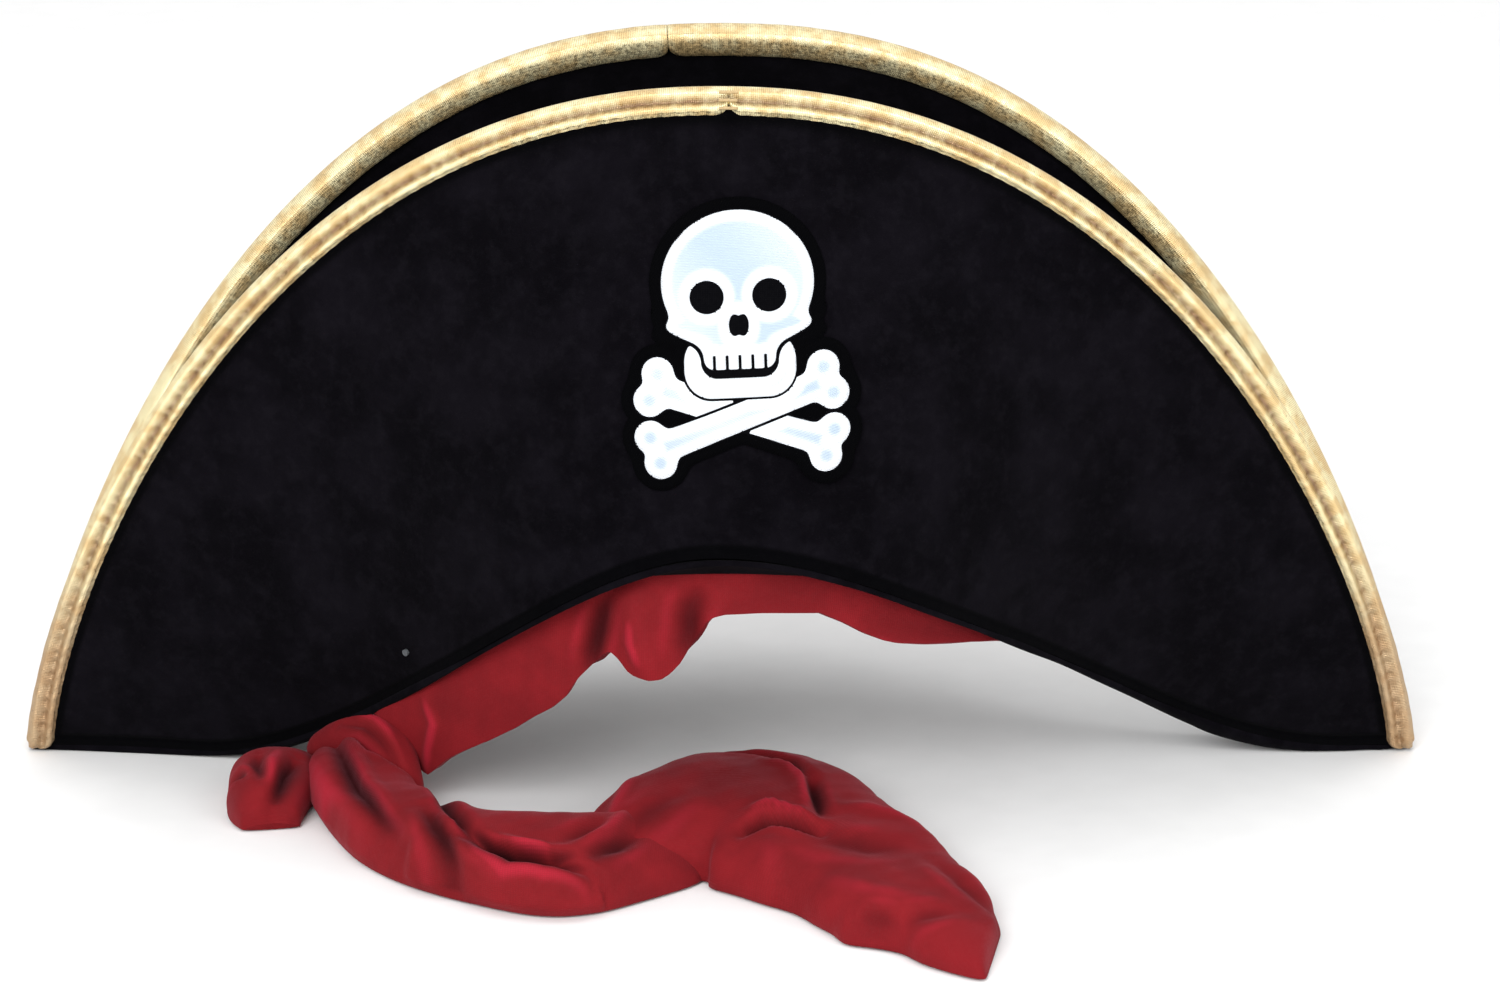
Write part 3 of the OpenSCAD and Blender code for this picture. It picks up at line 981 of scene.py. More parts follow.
@dataclass
class Binding:
    """Half of the gold ribbon that is folded over a flap's top edge."""

    form: HatForm
    wardrobe: Wardrobe
    side: Side
    hand: Hand
    step: float = 0.55 * MM
    around: int = 44
    inner_w: float = 6.0 * MM
    stitch_gap: float = 4.4 * MM
    round_end: float = 4.5 * MM
    tip_angle: float = 1.2
    join_x: dict[Side, float] = field(
        default_factory=lambda: {Side.FRONT: 3.0 * MM, Side.BACK: -16.0 * MM})

    TIP_W = 7.0 * MM
    MID_W = 6.3 * MM

    @classmethod
    def width_at(cls, form: HatForm, x: Array) -> Array:
        """Width of the ribbon on the outer face at places along the hat."""
        share = np.sqrt(np.maximum(0.0, 1 - (np.abs(x) / form.half_len) ** form.arch_p))
        return cls.TIP_W + (cls.MID_W - cls.TIP_W) * share ** 3

    def route(self) -> tuple[Array, Array]:
        """Angles of evenly spaced rings from the tip to the join, and distances.

        Returns:
            The angles in degrees and the distances in metres.
        """
        join = self.form.arch_angle(self.join_x[self.side], self.side)
        tip = self.tip_angle if self.hand is Hand.RIGHT else 180 - self.tip_angle
        gap = 0.02 if self.hand is Hand.RIGHT else -0.02
        fine = np.linspace(tip, join - gap, 2000)
        edge = self.form.arch_xz(fine, self.side)
        run = np.concatenate([[0.0], np.cumsum(np.linalg.norm(np.diff(edge, axis=0), axis=1))])
        count = int(run[-1] / self.step)
        even = np.linspace(0, run[-1], count + 1)
        return np.interp(even, run, fine), even

    def section(self, p: Array, width: Array, inner: Array) -> tuple[Array, Array, Array]:
        """The folded ribbon's section.

        Args:
            p: Place along the section from 0, the outer face's free edge, to 1.
            width: Width on the outer face.
            inner: Width on the inner face.

        Returns:
            Distance in from the flap's edge, height off the flap's outer face,
            and how deep in the groove each place lies.
        """
        turn, drop = 0.60, 0.74
        face = np.clip(p / turn, 0, 1)
        over = np.clip((p - turn) / (drop - turn), 0, 1)
        back = np.clip((p - drop) / (1 - drop), 0, 1)
        ridge = np.exp(-((face - 0.20) / 0.17) ** 2) + 1.05 * np.exp(-((face - 0.82) / 0.20) ** 2)
        plump = 0.62 * MM + 1.25 * MM * ridge
        shut = ease(face, 0.0, 0.10)
        height = plump * shut + 0.1 * MM
        top = self.form.flap_t
        arc = over * math.pi
        across = np.where(p <= turn, width * (1 - face), -1.1 * MM * np.sin(arc))
        swing = (1 - np.cos(arc)) / 2
        height = np.where(p <= turn, height, height * (1 - swing) + swing * (-top - 1.1 * MM))
        across = np.where(p > drop, inner * back, across)
        hug = 0.55 * MM + 0.9 * MM * np.sin(np.clip(back, 0, 1) * math.pi) ** 0.6
        height = np.where(p > drop, -top - hug - 0.75 * MM * (1 - back), height)
        groove = np.exp(-((face - 0.50) / 0.15) ** 2) * (p <= turn)
        # the back binding's groove is shallower and gets less painted shade
        return across, height, groove * (1.0 if self.side is Side.FRONT else 0.3)

    def build(self) -> Piece:
        """Make the ribbon with its ridges, puckers and rounded ends.

        Returns:
            The closed ribbon.
        """
        form, side = self.form, self.side
        angles, run = self.route()
        word = f"{self.side.word}_{self.hand.word}"
        piece, u, p = new_grid(f"binding_{word}", len(angles) - 1, self.around)
        angle = np.interp(u, np.linspace(0, 1, len(angles)), angles)
        along = u * run[-1]
        edge = form.arch_xz(angle, side)
        ahead, behind = form.arch_xz(angle + 0.5, side), form.arch_xz(angle - 0.5, side)
        way = ahead - behind
        way /= np.linalg.norm(way, axis=1)[:, None]
        inwards = np.stack([-way[:, 1], way[:, 0]], axis=1)
        width = self.width_at(form, edge[:, 0])
        left = np.minimum(along, run[-1] - along)
        rounding = np.sqrt(np.clip(1 - (1 - np.clip(left / self.round_end, 0, 1)) ** 2, 0, 1))
        room = np.clip((edge[:, 1] - 8 * MM) / (14 * MM), 0.04, 1.0)
        across, height, groove = self.section(p, width * (0.52 + 0.48 * rounding),
                                              self.inner_w * room * (0.4 + 0.6 * rounding))
        phase = along / self.stitch_gap * 2 * math.pi
        drift = bump_field(np.stack([along, p * 0.02, along * 0.3], axis=1),
                           ((140, 90, 20, 0.3), (310, 40, 55, 1.9), (730, 160, 90, 4.4)))
        face = p <= 0.6
        pucker = groove * (0.30 + 0.30 * np.cos(phase + 2.2 * drift)) * MM
        beads = np.exp(-((p / 0.6 - 0.2) / 0.16) ** 2) * (0.09 * np.cos(phase + math.pi)) * MM
        lump = np.where(face, beads - pucker, 0.0) + 0.20 * MM * drift * (height > 0.3 * MM)
        scallop = np.where(face & (p < 0.08), 0.05 * MM * np.cos(phase), 0.0)
        close = (0.35 + 0.65 * rounding)
        height = np.where(height > 0, (height + lump) * close, height + 0.15 * MM * drift)
        q = edge + np.maximum(0.0, across + scallop)[:, None] * inwards
        x = np.clip(q[:, 0], -form.end_x, form.end_x)
        z = np.maximum(q[:, 1], 0.8 * MM)
        points = form.point(x, z, side, height)
        beyond = np.minimum(0.0, across)
        points[:, 0] += beyond * inwards[:, 0]
        points[:, 2] = np.maximum(0.4 * MM, points[:, 2] + beyond * inwards[:, 1])
        set_points(piece, points)
        # the groove share also drives the braid's painted shade
        add_attribute(piece, "groove", groove)
        add_attribute(piece, "tip", 1 - ease(edge[:, 1], 10 * MM, 120 * MM))
        add_uv(piece, np.stack([along, p * 24 * MM], axis=1))
        finish_modifier(piece, "SOLIDIFY", thickness=0.30 * MM, offset=0.0)
        face_outwards(piece)
        smooth(piece, 70)
        dress(piece, self.wardrobe.braid)
        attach(piece, HAT)
        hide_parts(f"braid_{word}")
        log.info("binding %s: %.0f mm long", word, run[-1] / MM)
        return piece


# -------------------------------------------------------- crown, brim, lining


@dataclass
class InnerHat:
    """The crown, the under-brim and the sewn-in pieces."""

    wardrobe: Wardrobe
    uneven: float = 0.5 * MM

    def softened(self, node: str, name: str, levels: int, crease: float) -> Piece:
        """Copy a CAD mesh, merge it and subdivide it into a smooth soft piece.

        Args:
            node: The CAD node.
            name: Name of the new piece.
            levels: Subdivision levels.
            crease: Crease of its sharp edges, from 0 to 1.

        Returns:
            The new piece.
        """
        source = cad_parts[node]
        piece = source.copy()
        piece.data = source.data.copy()
        piece.name = name
        piece.parent = None
        piece.animation_data_clear()
        bpy.context.scene.collection.objects.link(piece)
        take(piece)
        bpy.ops.object.mode_set(mode="EDIT")
        bpy.ops.mesh.select_all(action="SELECT")
        bpy.ops.mesh.remove_doubles(threshold=1e-5)
        bpy.ops.mesh.tris_convert_to_quads(face_threshold=math.radians(50),
                                           shape_threshold=math.radians(60))
        bpy.ops.mesh.select_all(action="DESELECT")
        bpy.ops.mesh.select_mode(type="EDGE")
        bpy.ops.mesh.edges_select_sharp(sharpness=math.radians(50))
        bpy.ops.transform.edge_crease(value=crease)
        bpy.ops.mesh.select_all(action="DESELECT")
        bpy.ops.object.mode_set(mode="OBJECT")
        finish_modifier(piece, "SUBSURF", levels=levels, render_levels=levels)
        points = points_of(piece)
        field_ = bump_field(points, ((52, 31, 40, 0.2), (-75, 48, 22, 1.7), (33, -90, 61, 3.9),
                                     (120, 70, -84, 5.0)))
        set_points(piece, points + normals_of(piece) * (field_ * self.uneven)[:, None])
        # these pieces get no painted edge shade
        add_attribute(piece, "margin", np.zeros(len(points)))
        smooth(piece, 45)
        return piece

    def build(self) -> list[Piece]:
        """Make the smooth pieces and hide the CAD nodes they replace.

        Returns:
            The new pieces.
        """
        made = []
        for node, name, material, slot in (
                ("under_brim", "under_brim_felt", self.wardrobe.felt, "felt_black"),
                ("crown_side", "crown_side_felt", self.wardrobe.felt, "felt_black"),
                ("sweatband", "sweatband_tape", self.wardrobe.lining, "lining_black")):
            piece = self.softened(node, name, 2, 0.8)
            dress(piece, material)
            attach(piece, HAT)
            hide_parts(node)
            made.append(piece)
        made.append(self.crown_tip())
        made.append(self.label())
        log.info("inner hat: %d pieces", len(made))
        return made

    def crown_tip(self) -> Piece:
        """A softly domed oval tip with a rolled seam at its rim.

        Returns:
            The closed piece.
        """
        low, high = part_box("crown_tip")
        half = (high - low) / 2
        clear_selection()
        bpy.ops.mesh.primitive_circle_add(vertices=96, radius=1, fill_type="NGON",
                                          location=(0, 0, 0))
        piece = bpy.context.active_object
        piece.name = "crown_tip_felt"
        bpy.ops.object.mode_set(mode="EDIT")
        bpy.ops.mesh.select_all(action="SELECT")
        for inset in (0.015, 0.03, 0.06, 0.12, 0.16, 0.2, 0.2):
            bpy.ops.mesh.inset(thickness=inset)
        bpy.ops.mesh.poke()
        bpy.ops.object.mode_set(mode="OBJECT")
        points = points_of(piece)
        radius = np.linalg.norm(points[:, :2], axis=1)
        dome = 3.5 * MM * (1 - radius ** 2) + 0.9 * MM * np.exp(-((radius - 0.955) / 0.03) ** 2)
        placed = np.stack([points[:, 0] * half.x, points[:, 1] * half.y, low.z + dome], axis=1)
        set_points(piece, placed)
        finish_modifier(piece, "SOLIDIFY", thickness=high.z - low.z, offset=1.0)
        finish_modifier(piece, "SUBSURF", levels=1, render_levels=1)
        # no painted edge shade on the crown tip
        add_attribute(piece, "margin", np.zeros(len(piece.data.vertices)))
        face_outwards(piece)
        smooth(piece)
        dress(piece, self.wardrobe.felt)
        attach(piece, HAT)
        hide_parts("crown_tip")
        return piece

    def label(self) -> Piece:
        """The blank label: a small tape with a soft curl.

        Returns:
            The closed piece.
        """
        low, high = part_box("blank_label")
        piece, u, v = new_grid("label_tape", 24, 16)
        lean = (high.y - low.y) * v
        curl = 0.5 * MM * np.sin(u * math.pi) * (1 - v) + 0.25 * MM * np.sin(u * 9 + v * 4)
        set_points(piece, np.stack([low.x + (high.x - low.x) * u, high.y - lean - curl,
                                    low.z + (high.z - low.z) * v], axis=1))
        finish_modifier(piece, "SOLIDIFY", thickness=0.4 * MM, offset=0.0)
        finish_modifier(piece, "BEVEL", width=0.12 * MM, segments=2, limit_method="ANGLE")
        smooth(piece)
        dress(piece, self.wardrobe.label)
        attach(piece, HAT)
        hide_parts("blank_label")
        return piece


# -------------------------------------------------------------------- patch


def union(*fields: Array) -> Array:
    """Signed distance of shapes put together."""
    return np.minimum.reduce(fields)


def soft_union(a: Array, b: Array, radius: float) -> Array:
    """Signed distance of two shapes put together with a rounded inner corner."""
    h = np.clip(0.5 + 0.5 * (b - a) / radius, 0, 1)
    return b * (1 - h) + a * h - radius * h * (1 - h)


def without(a: Array, b: Array) -> Array:
    """Signed distance of a shape with another cut away."""
    return np.maximum(a, -b)


def disc(u: Array, w: Array, at: tuple[float, float], r: float) -> Array:
    """Signed distance to a round shape."""
    return np.hypot(u - at[0], w - at[1]) - r


def oval(u: Array, w: Array, at: tuple[float, float], a: float, b: float) -> Array:
    """Near signed distance to an oval with half axes a and b.

    Args:
        u: Places across the patch in millimetres.
        w: Places up the patch in millimetres.
        at: Its middle.
        a: Half its width.
        b: Half its height.

    Returns:
        One distance per place, negative inside.
    """
    k = np.hypot((u - at[0]) / a, (w - at[1]) / b)
    slope = np.hypot((u - at[0]) / a ** 2, (w - at[1]) / b ** 2)
    return np.where(slope > 1e-9, k * (k - 1) / np.maximum(slope, 1e-9), -min(a, b))


def block(u: Array, w: Array, at: tuple[float, float], a: float, b: float, r: float) -> Array:
    """Signed distance to a rounded block with half sides a and b.

    Args:
        u: Places across the patch in millimetres.
        w: Places up the patch in millimetres.
        at: Its middle.
        a: Half its width.
        b: Half its height.
        r: Radius of its corners.

    Returns:
        One distance per place, negative inside.
    """
    qx, qw = np.abs(u - at[0]) - a + r, np.abs(w - at[1]) - b + r
    outside = np.hypot(np.maximum(qx, 0), np.maximum(qw, 0))
    return outside + np.minimum(np.maximum(qx, qw), 0) - r


@dataclass(frozen=True)
class Motif:
    """The patch's own skull over crossed bones, in millimetres from its middle."""

    width: float = 43.0
    top: float = 16.0
    bones_w: float = -20.0
    bone_slope: float = 19.5
    bone_len: float = 52.0
    bone_shaft: float = 8.6
    border: float = 3.4

    def cranium(self, u: Array, w: Array) -> Array:
        """The head with its cheeks and upper jaw.

        Args:
            u: Places across the patch in millimetres.
            w: Places up the patch in millimetres.

        Returns:
            Signed distances.
        """
        round_ = oval(u, w, (0, self.top), self.width / 2, self.width * 0.44)
        cheek = oval(u, w, (0, self.top - 11.0), self.width * 0.475, 5.0)
        jaw = block(u, w, (0, self.top - 17.4), self.width * 0.235, 5.6, 3.0)
        return soft_union(soft_union(round_, cheek, 2.4), jaw, 3.4)

    def holes(self, u: Array, w: Array) -> Array:
        """Eyes, nose and the gaps between the teeth.

        Args:
            u: Places across the patch in millimetres.
            w: Places up the patch in millimetres.

        Returns:
            Signed distances.
        """
        found = []
        for hand in (-1, 1):
            eye = oval(u, w, (hand * 8.8, self.top - 3.6), 4.8, 4.4)
            found.append(eye)
        nose = soft_union(oval(u, w, (-1.2, self.top - 11.2), 1.6, 2.9),
                          oval(u, w, (1.2, self.top - 11.2), 1.6, 2.9), 1.4)
        found.append(nose)
        for step in range(-2, 3):
            found.append(block(u, w, (step * 3.6, self.top - 21.4), 0.42, 2.3, 0.4))
        return union(*found)

    def skull(self, u: Array, w: Array) -> Array:
        """The embroidered head with its holes."""
        return without(self.cranium(u, w), self.holes(u, w))

    def jaw(self, u: Array, w: Array) -> Array:
        """The loose lower jaw: a wide U below the teeth.

        Args:
            u: Places across the patch in millimetres.
            w: Places up the patch in millimetres.

        Returns:
            Signed distances.
        """
        outer = block(u, w, (0, self.top - 22.0), self.width * 0.365, 8.8, 7.6)
        inner = block(u, w, (0, self.top - 17.6), self.width * 0.255, 7.8, 4.6)
        return without(without(outer, inner), self.cranium(u, w) - 0.9)

    def bone(self, u: Array, w: Array, slope: float) -> Array:
        """One bone with two knobs at each end.

        Args:
            u: Places across the patch in millimetres.
            w: Places up the patch in millimetres.
            slope: Its slope in degrees.

        Returns:
            Signed distances.
        """
        c, s = math.cos(math.radians(slope)), math.sin(math.radians(slope))
        a, b = u * c + (w - self.bones_w) * s, (w - self.bones_w) * c - u * s
        waist = self.bone_shaft / 2 - 0.5 + 0.6 * (a / (self.bone_len / 2)) ** 2
        shape = np.maximum(np.abs(b) - waist, np.abs(a) - self.bone_len / 2)
        for end in (-1, 1):
            for up in (-1, 1):
                knob = disc(a, b, (end * self.bone_len / 2, up * 3.8), 4.6)
                shape = soft_union(shape, knob, 2.2)
        return shape

    def rising(self, u: Array, w: Array) -> Array:
        """The bone on top, without what the skull hides."""
        return without(self.bone(u, w, self.bone_slope), self.hidden(u, w))

    def falling(self, u: Array, w: Array) -> Array:
        """The bone underneath, parted by the one on top."""
        cover = union(self.bone(u, w, self.bone_slope) - 0.7, self.hidden(u, w))
        return without(self.bone(u, w, -self.bone_slope), cover)

    def hidden(self, u: Array, w: Array) -> Array:
        """What the head and the jaw cover."""
        return union(self.cranium(u, w), self.jaw(u, w)) - 0.6

    def outline(self, u: Array, w: Array) -> Array:
        """The whole motif as one shape.

        Args:
            u: Places across the patch in millimetres.
            w: Places up the patch in millimetres.

        Returns:
            Signed distances.
        """
        bones = union(self.bone(u, w, self.bone_slope), self.bone(u, w, -self.bone_slope))
        mouth = block(u, w, (0, self.top - 20.0), self.width * 0.30, 8.0, 4.0)
        return union(self.cranium(u, w), self.jaw(u, w), mouth, bones)

    def ground(self, u: Array, w: Array) -> Array:
        """The backing cloth under everything."""
        return self.outline(u, w) - self.border

    def edging(self, u: Array, w: Array) -> Array:
        """The dark satin border around the motif."""
        body = self.outline(u, w)
        return np.maximum(body - self.border, 0.35 - body)


@dataclass
class Patch:
    """The embroidered patch on the front flap."""

    form: HatForm
    wardrobe: Wardrobe
    motif: Motif = field(default_factory=Motif)
    pitch_mm: float = 0.36
    tilt: float = 2.0
    centre_x: float = 6.0 * MM
    centre_z: float = 151.0 * MM
    thread_t: float = 0.9 * MM

    def stamp(self, name: str, shape: Callable[[Array, Array], Array], lift: float, height: float,
              stitch: float, soft: float = 1.0) -> Piece:
        """Cut a shape out of a fine grid and raise it off the flap.

        Args:
            name: The piece's name.
            shape: Signed distance of the shape in patch millimetres.
            lift: Height of its underside off the flap.
            height: Its thickness in the middle.
            stitch: Direction of its threads in degrees.
            soft: Width in millimetres over which its edge rounds down.

        Returns:
            The closed piece.
        """
        reach_u, reach_w = 37.0, 44.0
        columns, rows = int(2 * reach_u / self.pitch_mm), int(2 * reach_w / self.pitch_mm)
        piece, gu, gv = new_grid(name, columns, rows)
        u, w = (gu - 0.5) * 2 * reach_u, (gv - 0.5) * 2 * reach_w
        level = shape(u, w)
        self.cut_outside(piece, level)
        u, w = self.snap(piece, shape, reach_u, reach_w)
        depth = np.maximum(0.0, -shape(u, w))
        swell = 0.30 + 0.70 * (1 - np.exp(-depth / soft))
        c, s = math.cos(math.radians(self.tilt)), math.sin(math.radians(self.tilt))
        x = self.centre_x + (u * c - w * s) * MM
        z = self.centre_z + (u * s + w * c) * MM
        lifts = lift + height * swell
        set_points(piece, self.form.point(x, z, Side.FRONT, lifts))
        turn_c, turn_s = math.cos(math.radians(stitch)), math.sin(math.radians(stitch))
        add_uv(piece, np.stack([u * turn_c + w * turn_s, w * turn_c - u * turn_s], axis=1) * MM)
        inner = ease(depth, 2.0, 3.8) * (0.75 + 0.25 * np.sin(u * 0.11 + w * 0.07 + 0.5))
        add_attribute(piece, "inner", np.clip(inner, 0, 1))
        finish_modifier(piece, "SOLIDIFY", thickness=height * 0.30 + 0.15 * MM, offset=-1.0)
        smooth(piece, 60)
        return piece

    def cut_outside(self, piece: Piece, level: Array) -> None:
        """Delete the faces whose corners all lie outside the shape.

        Args:
            piece: The mesh piece.
            level: Signed distance of each vertex.
        """
        take(piece)
        keep = level < 0.5 * self.pitch_mm
        bpy.ops.object.mode_set(mode="EDIT")
        bpy.ops.mesh.select_mode(type="VERT")
        bpy.ops.mesh.select_all(action="DESELECT")
        bpy.ops.object.mode_set(mode="OBJECT")
        piece.data.vertices.foreach_set("select", ~keep)
        bpy.ops.object.mode_set(mode="EDIT")
        bpy.ops.mesh.delete(type="VERT")
        bpy.ops.object.mode_set(mode="OBJECT")

    def snap(self, piece: Piece, shape: Callable[[Array, Array], Array], reach_u: float,
             reach_w: float) -> tuple[Array, Array]:
        """Pull border vertices onto the outline and return all in millimetres.

        Args:
            piece: The mesh piece.
            shape: Signed distance of the shape.
            reach_u: Half the grid's width.
            reach_w: Half the grid's height.

        Returns:
            Places across and up the patch, one per vertex.
        """
        points = points_of(piece)
        u, w = points[:, 0] * 2 * reach_u, points[:, 1] * 2 * reach_w
        edge = np.abs(shape(u, w)) < 0.75 * self.pitch_mm
        for _ in range(3):
            level = shape(u, w)
            e = 0.02
            gu = (shape(u + e, w) - shape(u - e, w)) / (2 * e)
            gw = (shape(u, w + e) - shape(u, w - e)) / (2 * e)
            size = np.maximum(gu ** 2 + gw ** 2, 0.2)
            move = np.where(edge, level / size, 0.0)
            u, w = u - move * gu, w - move * gw
        return u, w

    def build(self) -> list[Piece]:
        """Make the ground, the border and each embroidered shape.

        Returns:
            The six pieces.
        """
        t, motif, wardrobe = self.thread_t, self.motif, self.wardrobe
        plan = (
            ("patch_ground_cloth", "patch_ground", motif.ground, 0.0, t, 0, 0.5,
             wardrobe.lining, "lining_black"),
            ("patch_border_satin", "patch_border", motif.edging, 0.55 * t, 1.25 * t, 20, 0.9,
             wardrobe.black_satin, "black_thread"),
            ("patch_skull_satin", "patch_skull", motif.skull, 0.6 * t, 1.5 * t, 90, 0.8,
             wardrobe.white, "white_thread"),
            ("patch_jaw_satin", "patch_jaw", motif.jaw, 0.6 * t, 1.3 * t, 0, 0.8,
             wardrobe.white, "white_thread"),
            ("patch_rising_satin", "patch_rising_bone", motif.rising, 0.6 * t, 1.5 * t, -72, 0.9,
             wardrobe.white, "white_thread"),
            ("patch_falling_satin", "patch_falling_bone", motif.falling, 0.6 * t, 1.2 * t, 72, 0.9,
             wardrobe.white, "white_thread"),
        )
        made = []
        for name, node, shape, lift, height, stitch, soft, material, slot in plan:
            piece = self.stamp(name, shape, lift, height, stitch, soft)
            dress(piece, material)
            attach(piece, HAT)
            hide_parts(node)
            made.append(piece)
        log.info("patch: %d pieces", len(made))
        return made


# ---------------------------------------------------------------- red cloth


class Crease(Enum):
    """What a crease does to the cloth on its line."""

    VALLEY = "sinks, with two low banks"
    RIDGE = "rises"
    LAP = "one layer steps over another, high on the line's left"


@dataclass(frozen=True)
class Fold:
    """A crease along a line on the cloth's chart, in millimetres."""

    kind: Crease
    line: tuple[tuple[float, float], ...]
    width: float
    height: float

    def along(self, chart: Array) -> tuple[Array, Array, Array]:
        """Distance to the line, signed distance and the share along it.

        Args:
            chart: Rows of two coordinates in millimetres.

        Returns:
            The three arrays.
        """
        line = np.array(self.line)
        best, signed, share = np.full(len(chart), 1e9), np.zeros(len(chart)), np.zeros(len(chart))
        lengths = np.linalg.norm(np.diff(line, axis=0), axis=1)
        start = 0.0
        for a, b, length in zip(line[:-1], line[1:], lengths):
            way = (b - a) / length
            offset = chart - a
            t = np.clip(offset @ way, 0, length)
            gap = np.linalg.norm(offset - t[:, None] * way, axis=1)
            left = way[0] * offset[:, 1] - way[1] * offset[:, 0]
            nearer = gap < best
            best = np.where(nearer, gap, best)
            signed = np.where(nearer, np.sign(left) * gap, signed)
            share = np.where(nearer, (start + t) / lengths.sum(), share)
            start += length
        return best, signed, share

    def press(self, chart: Array) -> tuple[Array, Array, Array]:
        """Height change in millimetres, and how much painted shade and painted highlight each place
        gets.

        Args:
            chart: Rows of two coordinates in millimetres.

        Returns:
            Height change, painted shade share and painted highlight share.
        """
        gap, signed, share = self.along(chart)
        taper = np.sin(np.clip(share, 0.03, 0.97) * math.pi) ** 0.55
        near = np.exp(-(gap / self.width) ** 2)
        banks = np.exp(-((gap - 2.1 * self.width) / (0.9 * self.width)) ** 2)
        if self.kind is Crease.VALLEY:
            # painted shade of a valley, reaching past its banks onto the far wall
            reach = np.exp(-(gap / (1.45 * self.width)) ** 2)
            shade = min(1.0, self.height / 3.6) * taper * reach
            return self.height * taper * (0.16 * banks - near), shade, 0.5 * taper * banks
        # a ridge gets painted highlight along its crest
        if self.kind is Crease.RIDGE:
            return self.height * taper * near, 0 * near, taper * near * min(1.0, 2.2 / self.width)
        over = 1 / (1 + np.exp(np.clip(-signed / (0.22 * self.width), -40, 40)))
        upper = over * np.exp(-np.maximum(signed, 0) / (4 * self.width))
        # painted shade at the lap's foot, painted highlight on its lip
        foot = np.exp(-((signed + 0.9 * self.width) / (0.8 * self.width)) ** 2)
        lip = np.exp(-((signed - 0.8 * self.width) / (0.6 * self.width)) ** 2)
        reach = np.exp(-np.maximum(0, gap - 6 * self.width) / self.width)
        lift = self.height * taper * (upper - 0.45 * foot) * reach
        return lift, taper * foot * reach, taper * lip * reach


def smooth_line(stops: Sequence[Sequence[float]], t: Array) -> Array:
    """Points on a smooth curve through stops, for shares from 0 to 1.

    Args:
        stops: The values at each stop.
        t: Shares of the way, by count of stops.

    Returns:
        One row per share.
    """
    rows = np.array(stops, dtype=float)
    place = np.clip(t, 0, 1) * (len(rows) - 1)
    i = np.clip(np.floor(place).astype(int), 0, len(rows) - 2)
    f = (place - i)[:, None]
    before, a = rows[np.maximum(i - 1, 0)], rows[i]
    b, after = rows[i + 1], rows[np.minimum(i + 2, len(rows) - 1)]
    return 0.5 * (2 * a + (b - before) * f + (2 * before - 5 * a + 4 * b - after) * f ** 2
                  + (3 * a - before - 3 * b + after) * f ** 3)


def crumple(piece: Piece, chart: Array, folds: Sequence[Fold], free: Array, wavy_mm: float) -> None:
    """Press folds and a soft unevenness into a cloth piece along its normals.

    Args:
        piece: The mesh piece.
        chart: Two coordinates per vertex in millimetres.
        folds: The creases.
        free: How freely each vertex may move, from 0 to 1.
        wavy_mm: Height of the unevenness.
    """
    points, normal = points_of(piece), normals_of(piece)
    move, hollow_shade, crest_highlight = (np.zeros(len(points)) for _ in range(3))
    for fold in folds:
        # low is the fold's painted shade, high its painted highlight
        lift, low, high = fold.press(chart)
        move += lift
        hollow_shade = np.maximum(hollow_shade, low)
        crest_highlight = np.maximum(crest_highlight, high)
    broad = bump_field(points, ((110, 60, 30, 0.4), (-70, 150, 40, 1.2), (170, 100, -60, 2.7),
                                (50, -230, 70, 4.1)))
    fine = bump_field(points, ((520, 330, 90, 0.9), (-410, 690, 160, 2.2), (760, -280, 120, 5.1)))
    move += wavy_mm * (broad + 0.18 * fine)
    set_points(piece, points + normal * (move * free * MM)[:, None])
    # the folds' painted shade and painted highlight, kept for the material
    add_attribute(piece, "hollow_shade", hollow_shade * free)
    add_attribute(piece, "crest_highlight", crest_highlight * free)


@dataclass(frozen=True)
class Roll:
    """A rumpled stretch of cloth lying on the table.

    Its stations are x, y, the angle of its width in degrees, its half width and
    its height, all in millimetres.
    """

    name: str
    stations: tuple[tuple[float, float, float, float, float], ...]
    folds: tuple[Fold, ...]
    along: int = 230
    around: int = 150
    base_z: float = 0.5
    wavy: float = 0.9
    hem: tuple[tuple[float, float, float], ...] = ()

    def build(self, material: bpy.types.Material) -> Piece:
        """Loft the stations, close the ends and crumple the cloth.

        Args:
            material: The finish it wears.

        Returns:
            The closed piece.
        """
        piece, s, turn = new_grid(self.name, self.along, self.around)
        row = smooth_line(self.stations, s)
        theta = turn * 2 * math.pi
        c, sn = np.cos(theta), np.sin(theta)
        angle = np.radians(row[:, 2])
        end = np.minimum(s, 1 - s)
        shut = np.sqrt(np.clip(1 - (1 - np.clip(end / 0.05, 0, 1)) ** 2, 0.0, 1))
        edge = np.zeros_like(s)
        for place, reach, grow in self.hem:
            edge += grow * np.exp(-((s - place) / reach) ** 2)
        half = row[:, 3] * (0.86 + 0.14 * shut) + np.where(c < 0, edge, 0) * np.abs(c)
        side = half * np.sign(c) * np.abs(c) ** 0.8
        high = row[:, 4] * (0.2 + 0.8 * shut)
        up = np.where(sn > 0, high * np.maximum(sn, 0) ** 0.7, 0.35 * sn)
        points = np.stack([row[:, 0] + side * np.cos(angle), row[:, 1] + side * np.sin(angle),
                           self.base_z + up], axis=1) * MM
        set_points(piece, points)
        add_uv(piece, np.stack([s * 0.19, turn * 0.12], axis=1))
        weld(piece, 0.01 * MM)
        face_outwards(piece, fill=True)
        points = points_of(piece)
        free = ease(points[:, 2], self.base_z * MM, 4 * MM)
        crumple(piece, points[:, :2] / MM, self.folds, free, self.wavy)
        points = points_of(piece)
        points[:, 2] = np.maximum(points[:, 2], 0.12 * MM)
        set_points(piece, points)
        smooth(piece, 85)
        dress(piece, material)
        return piece


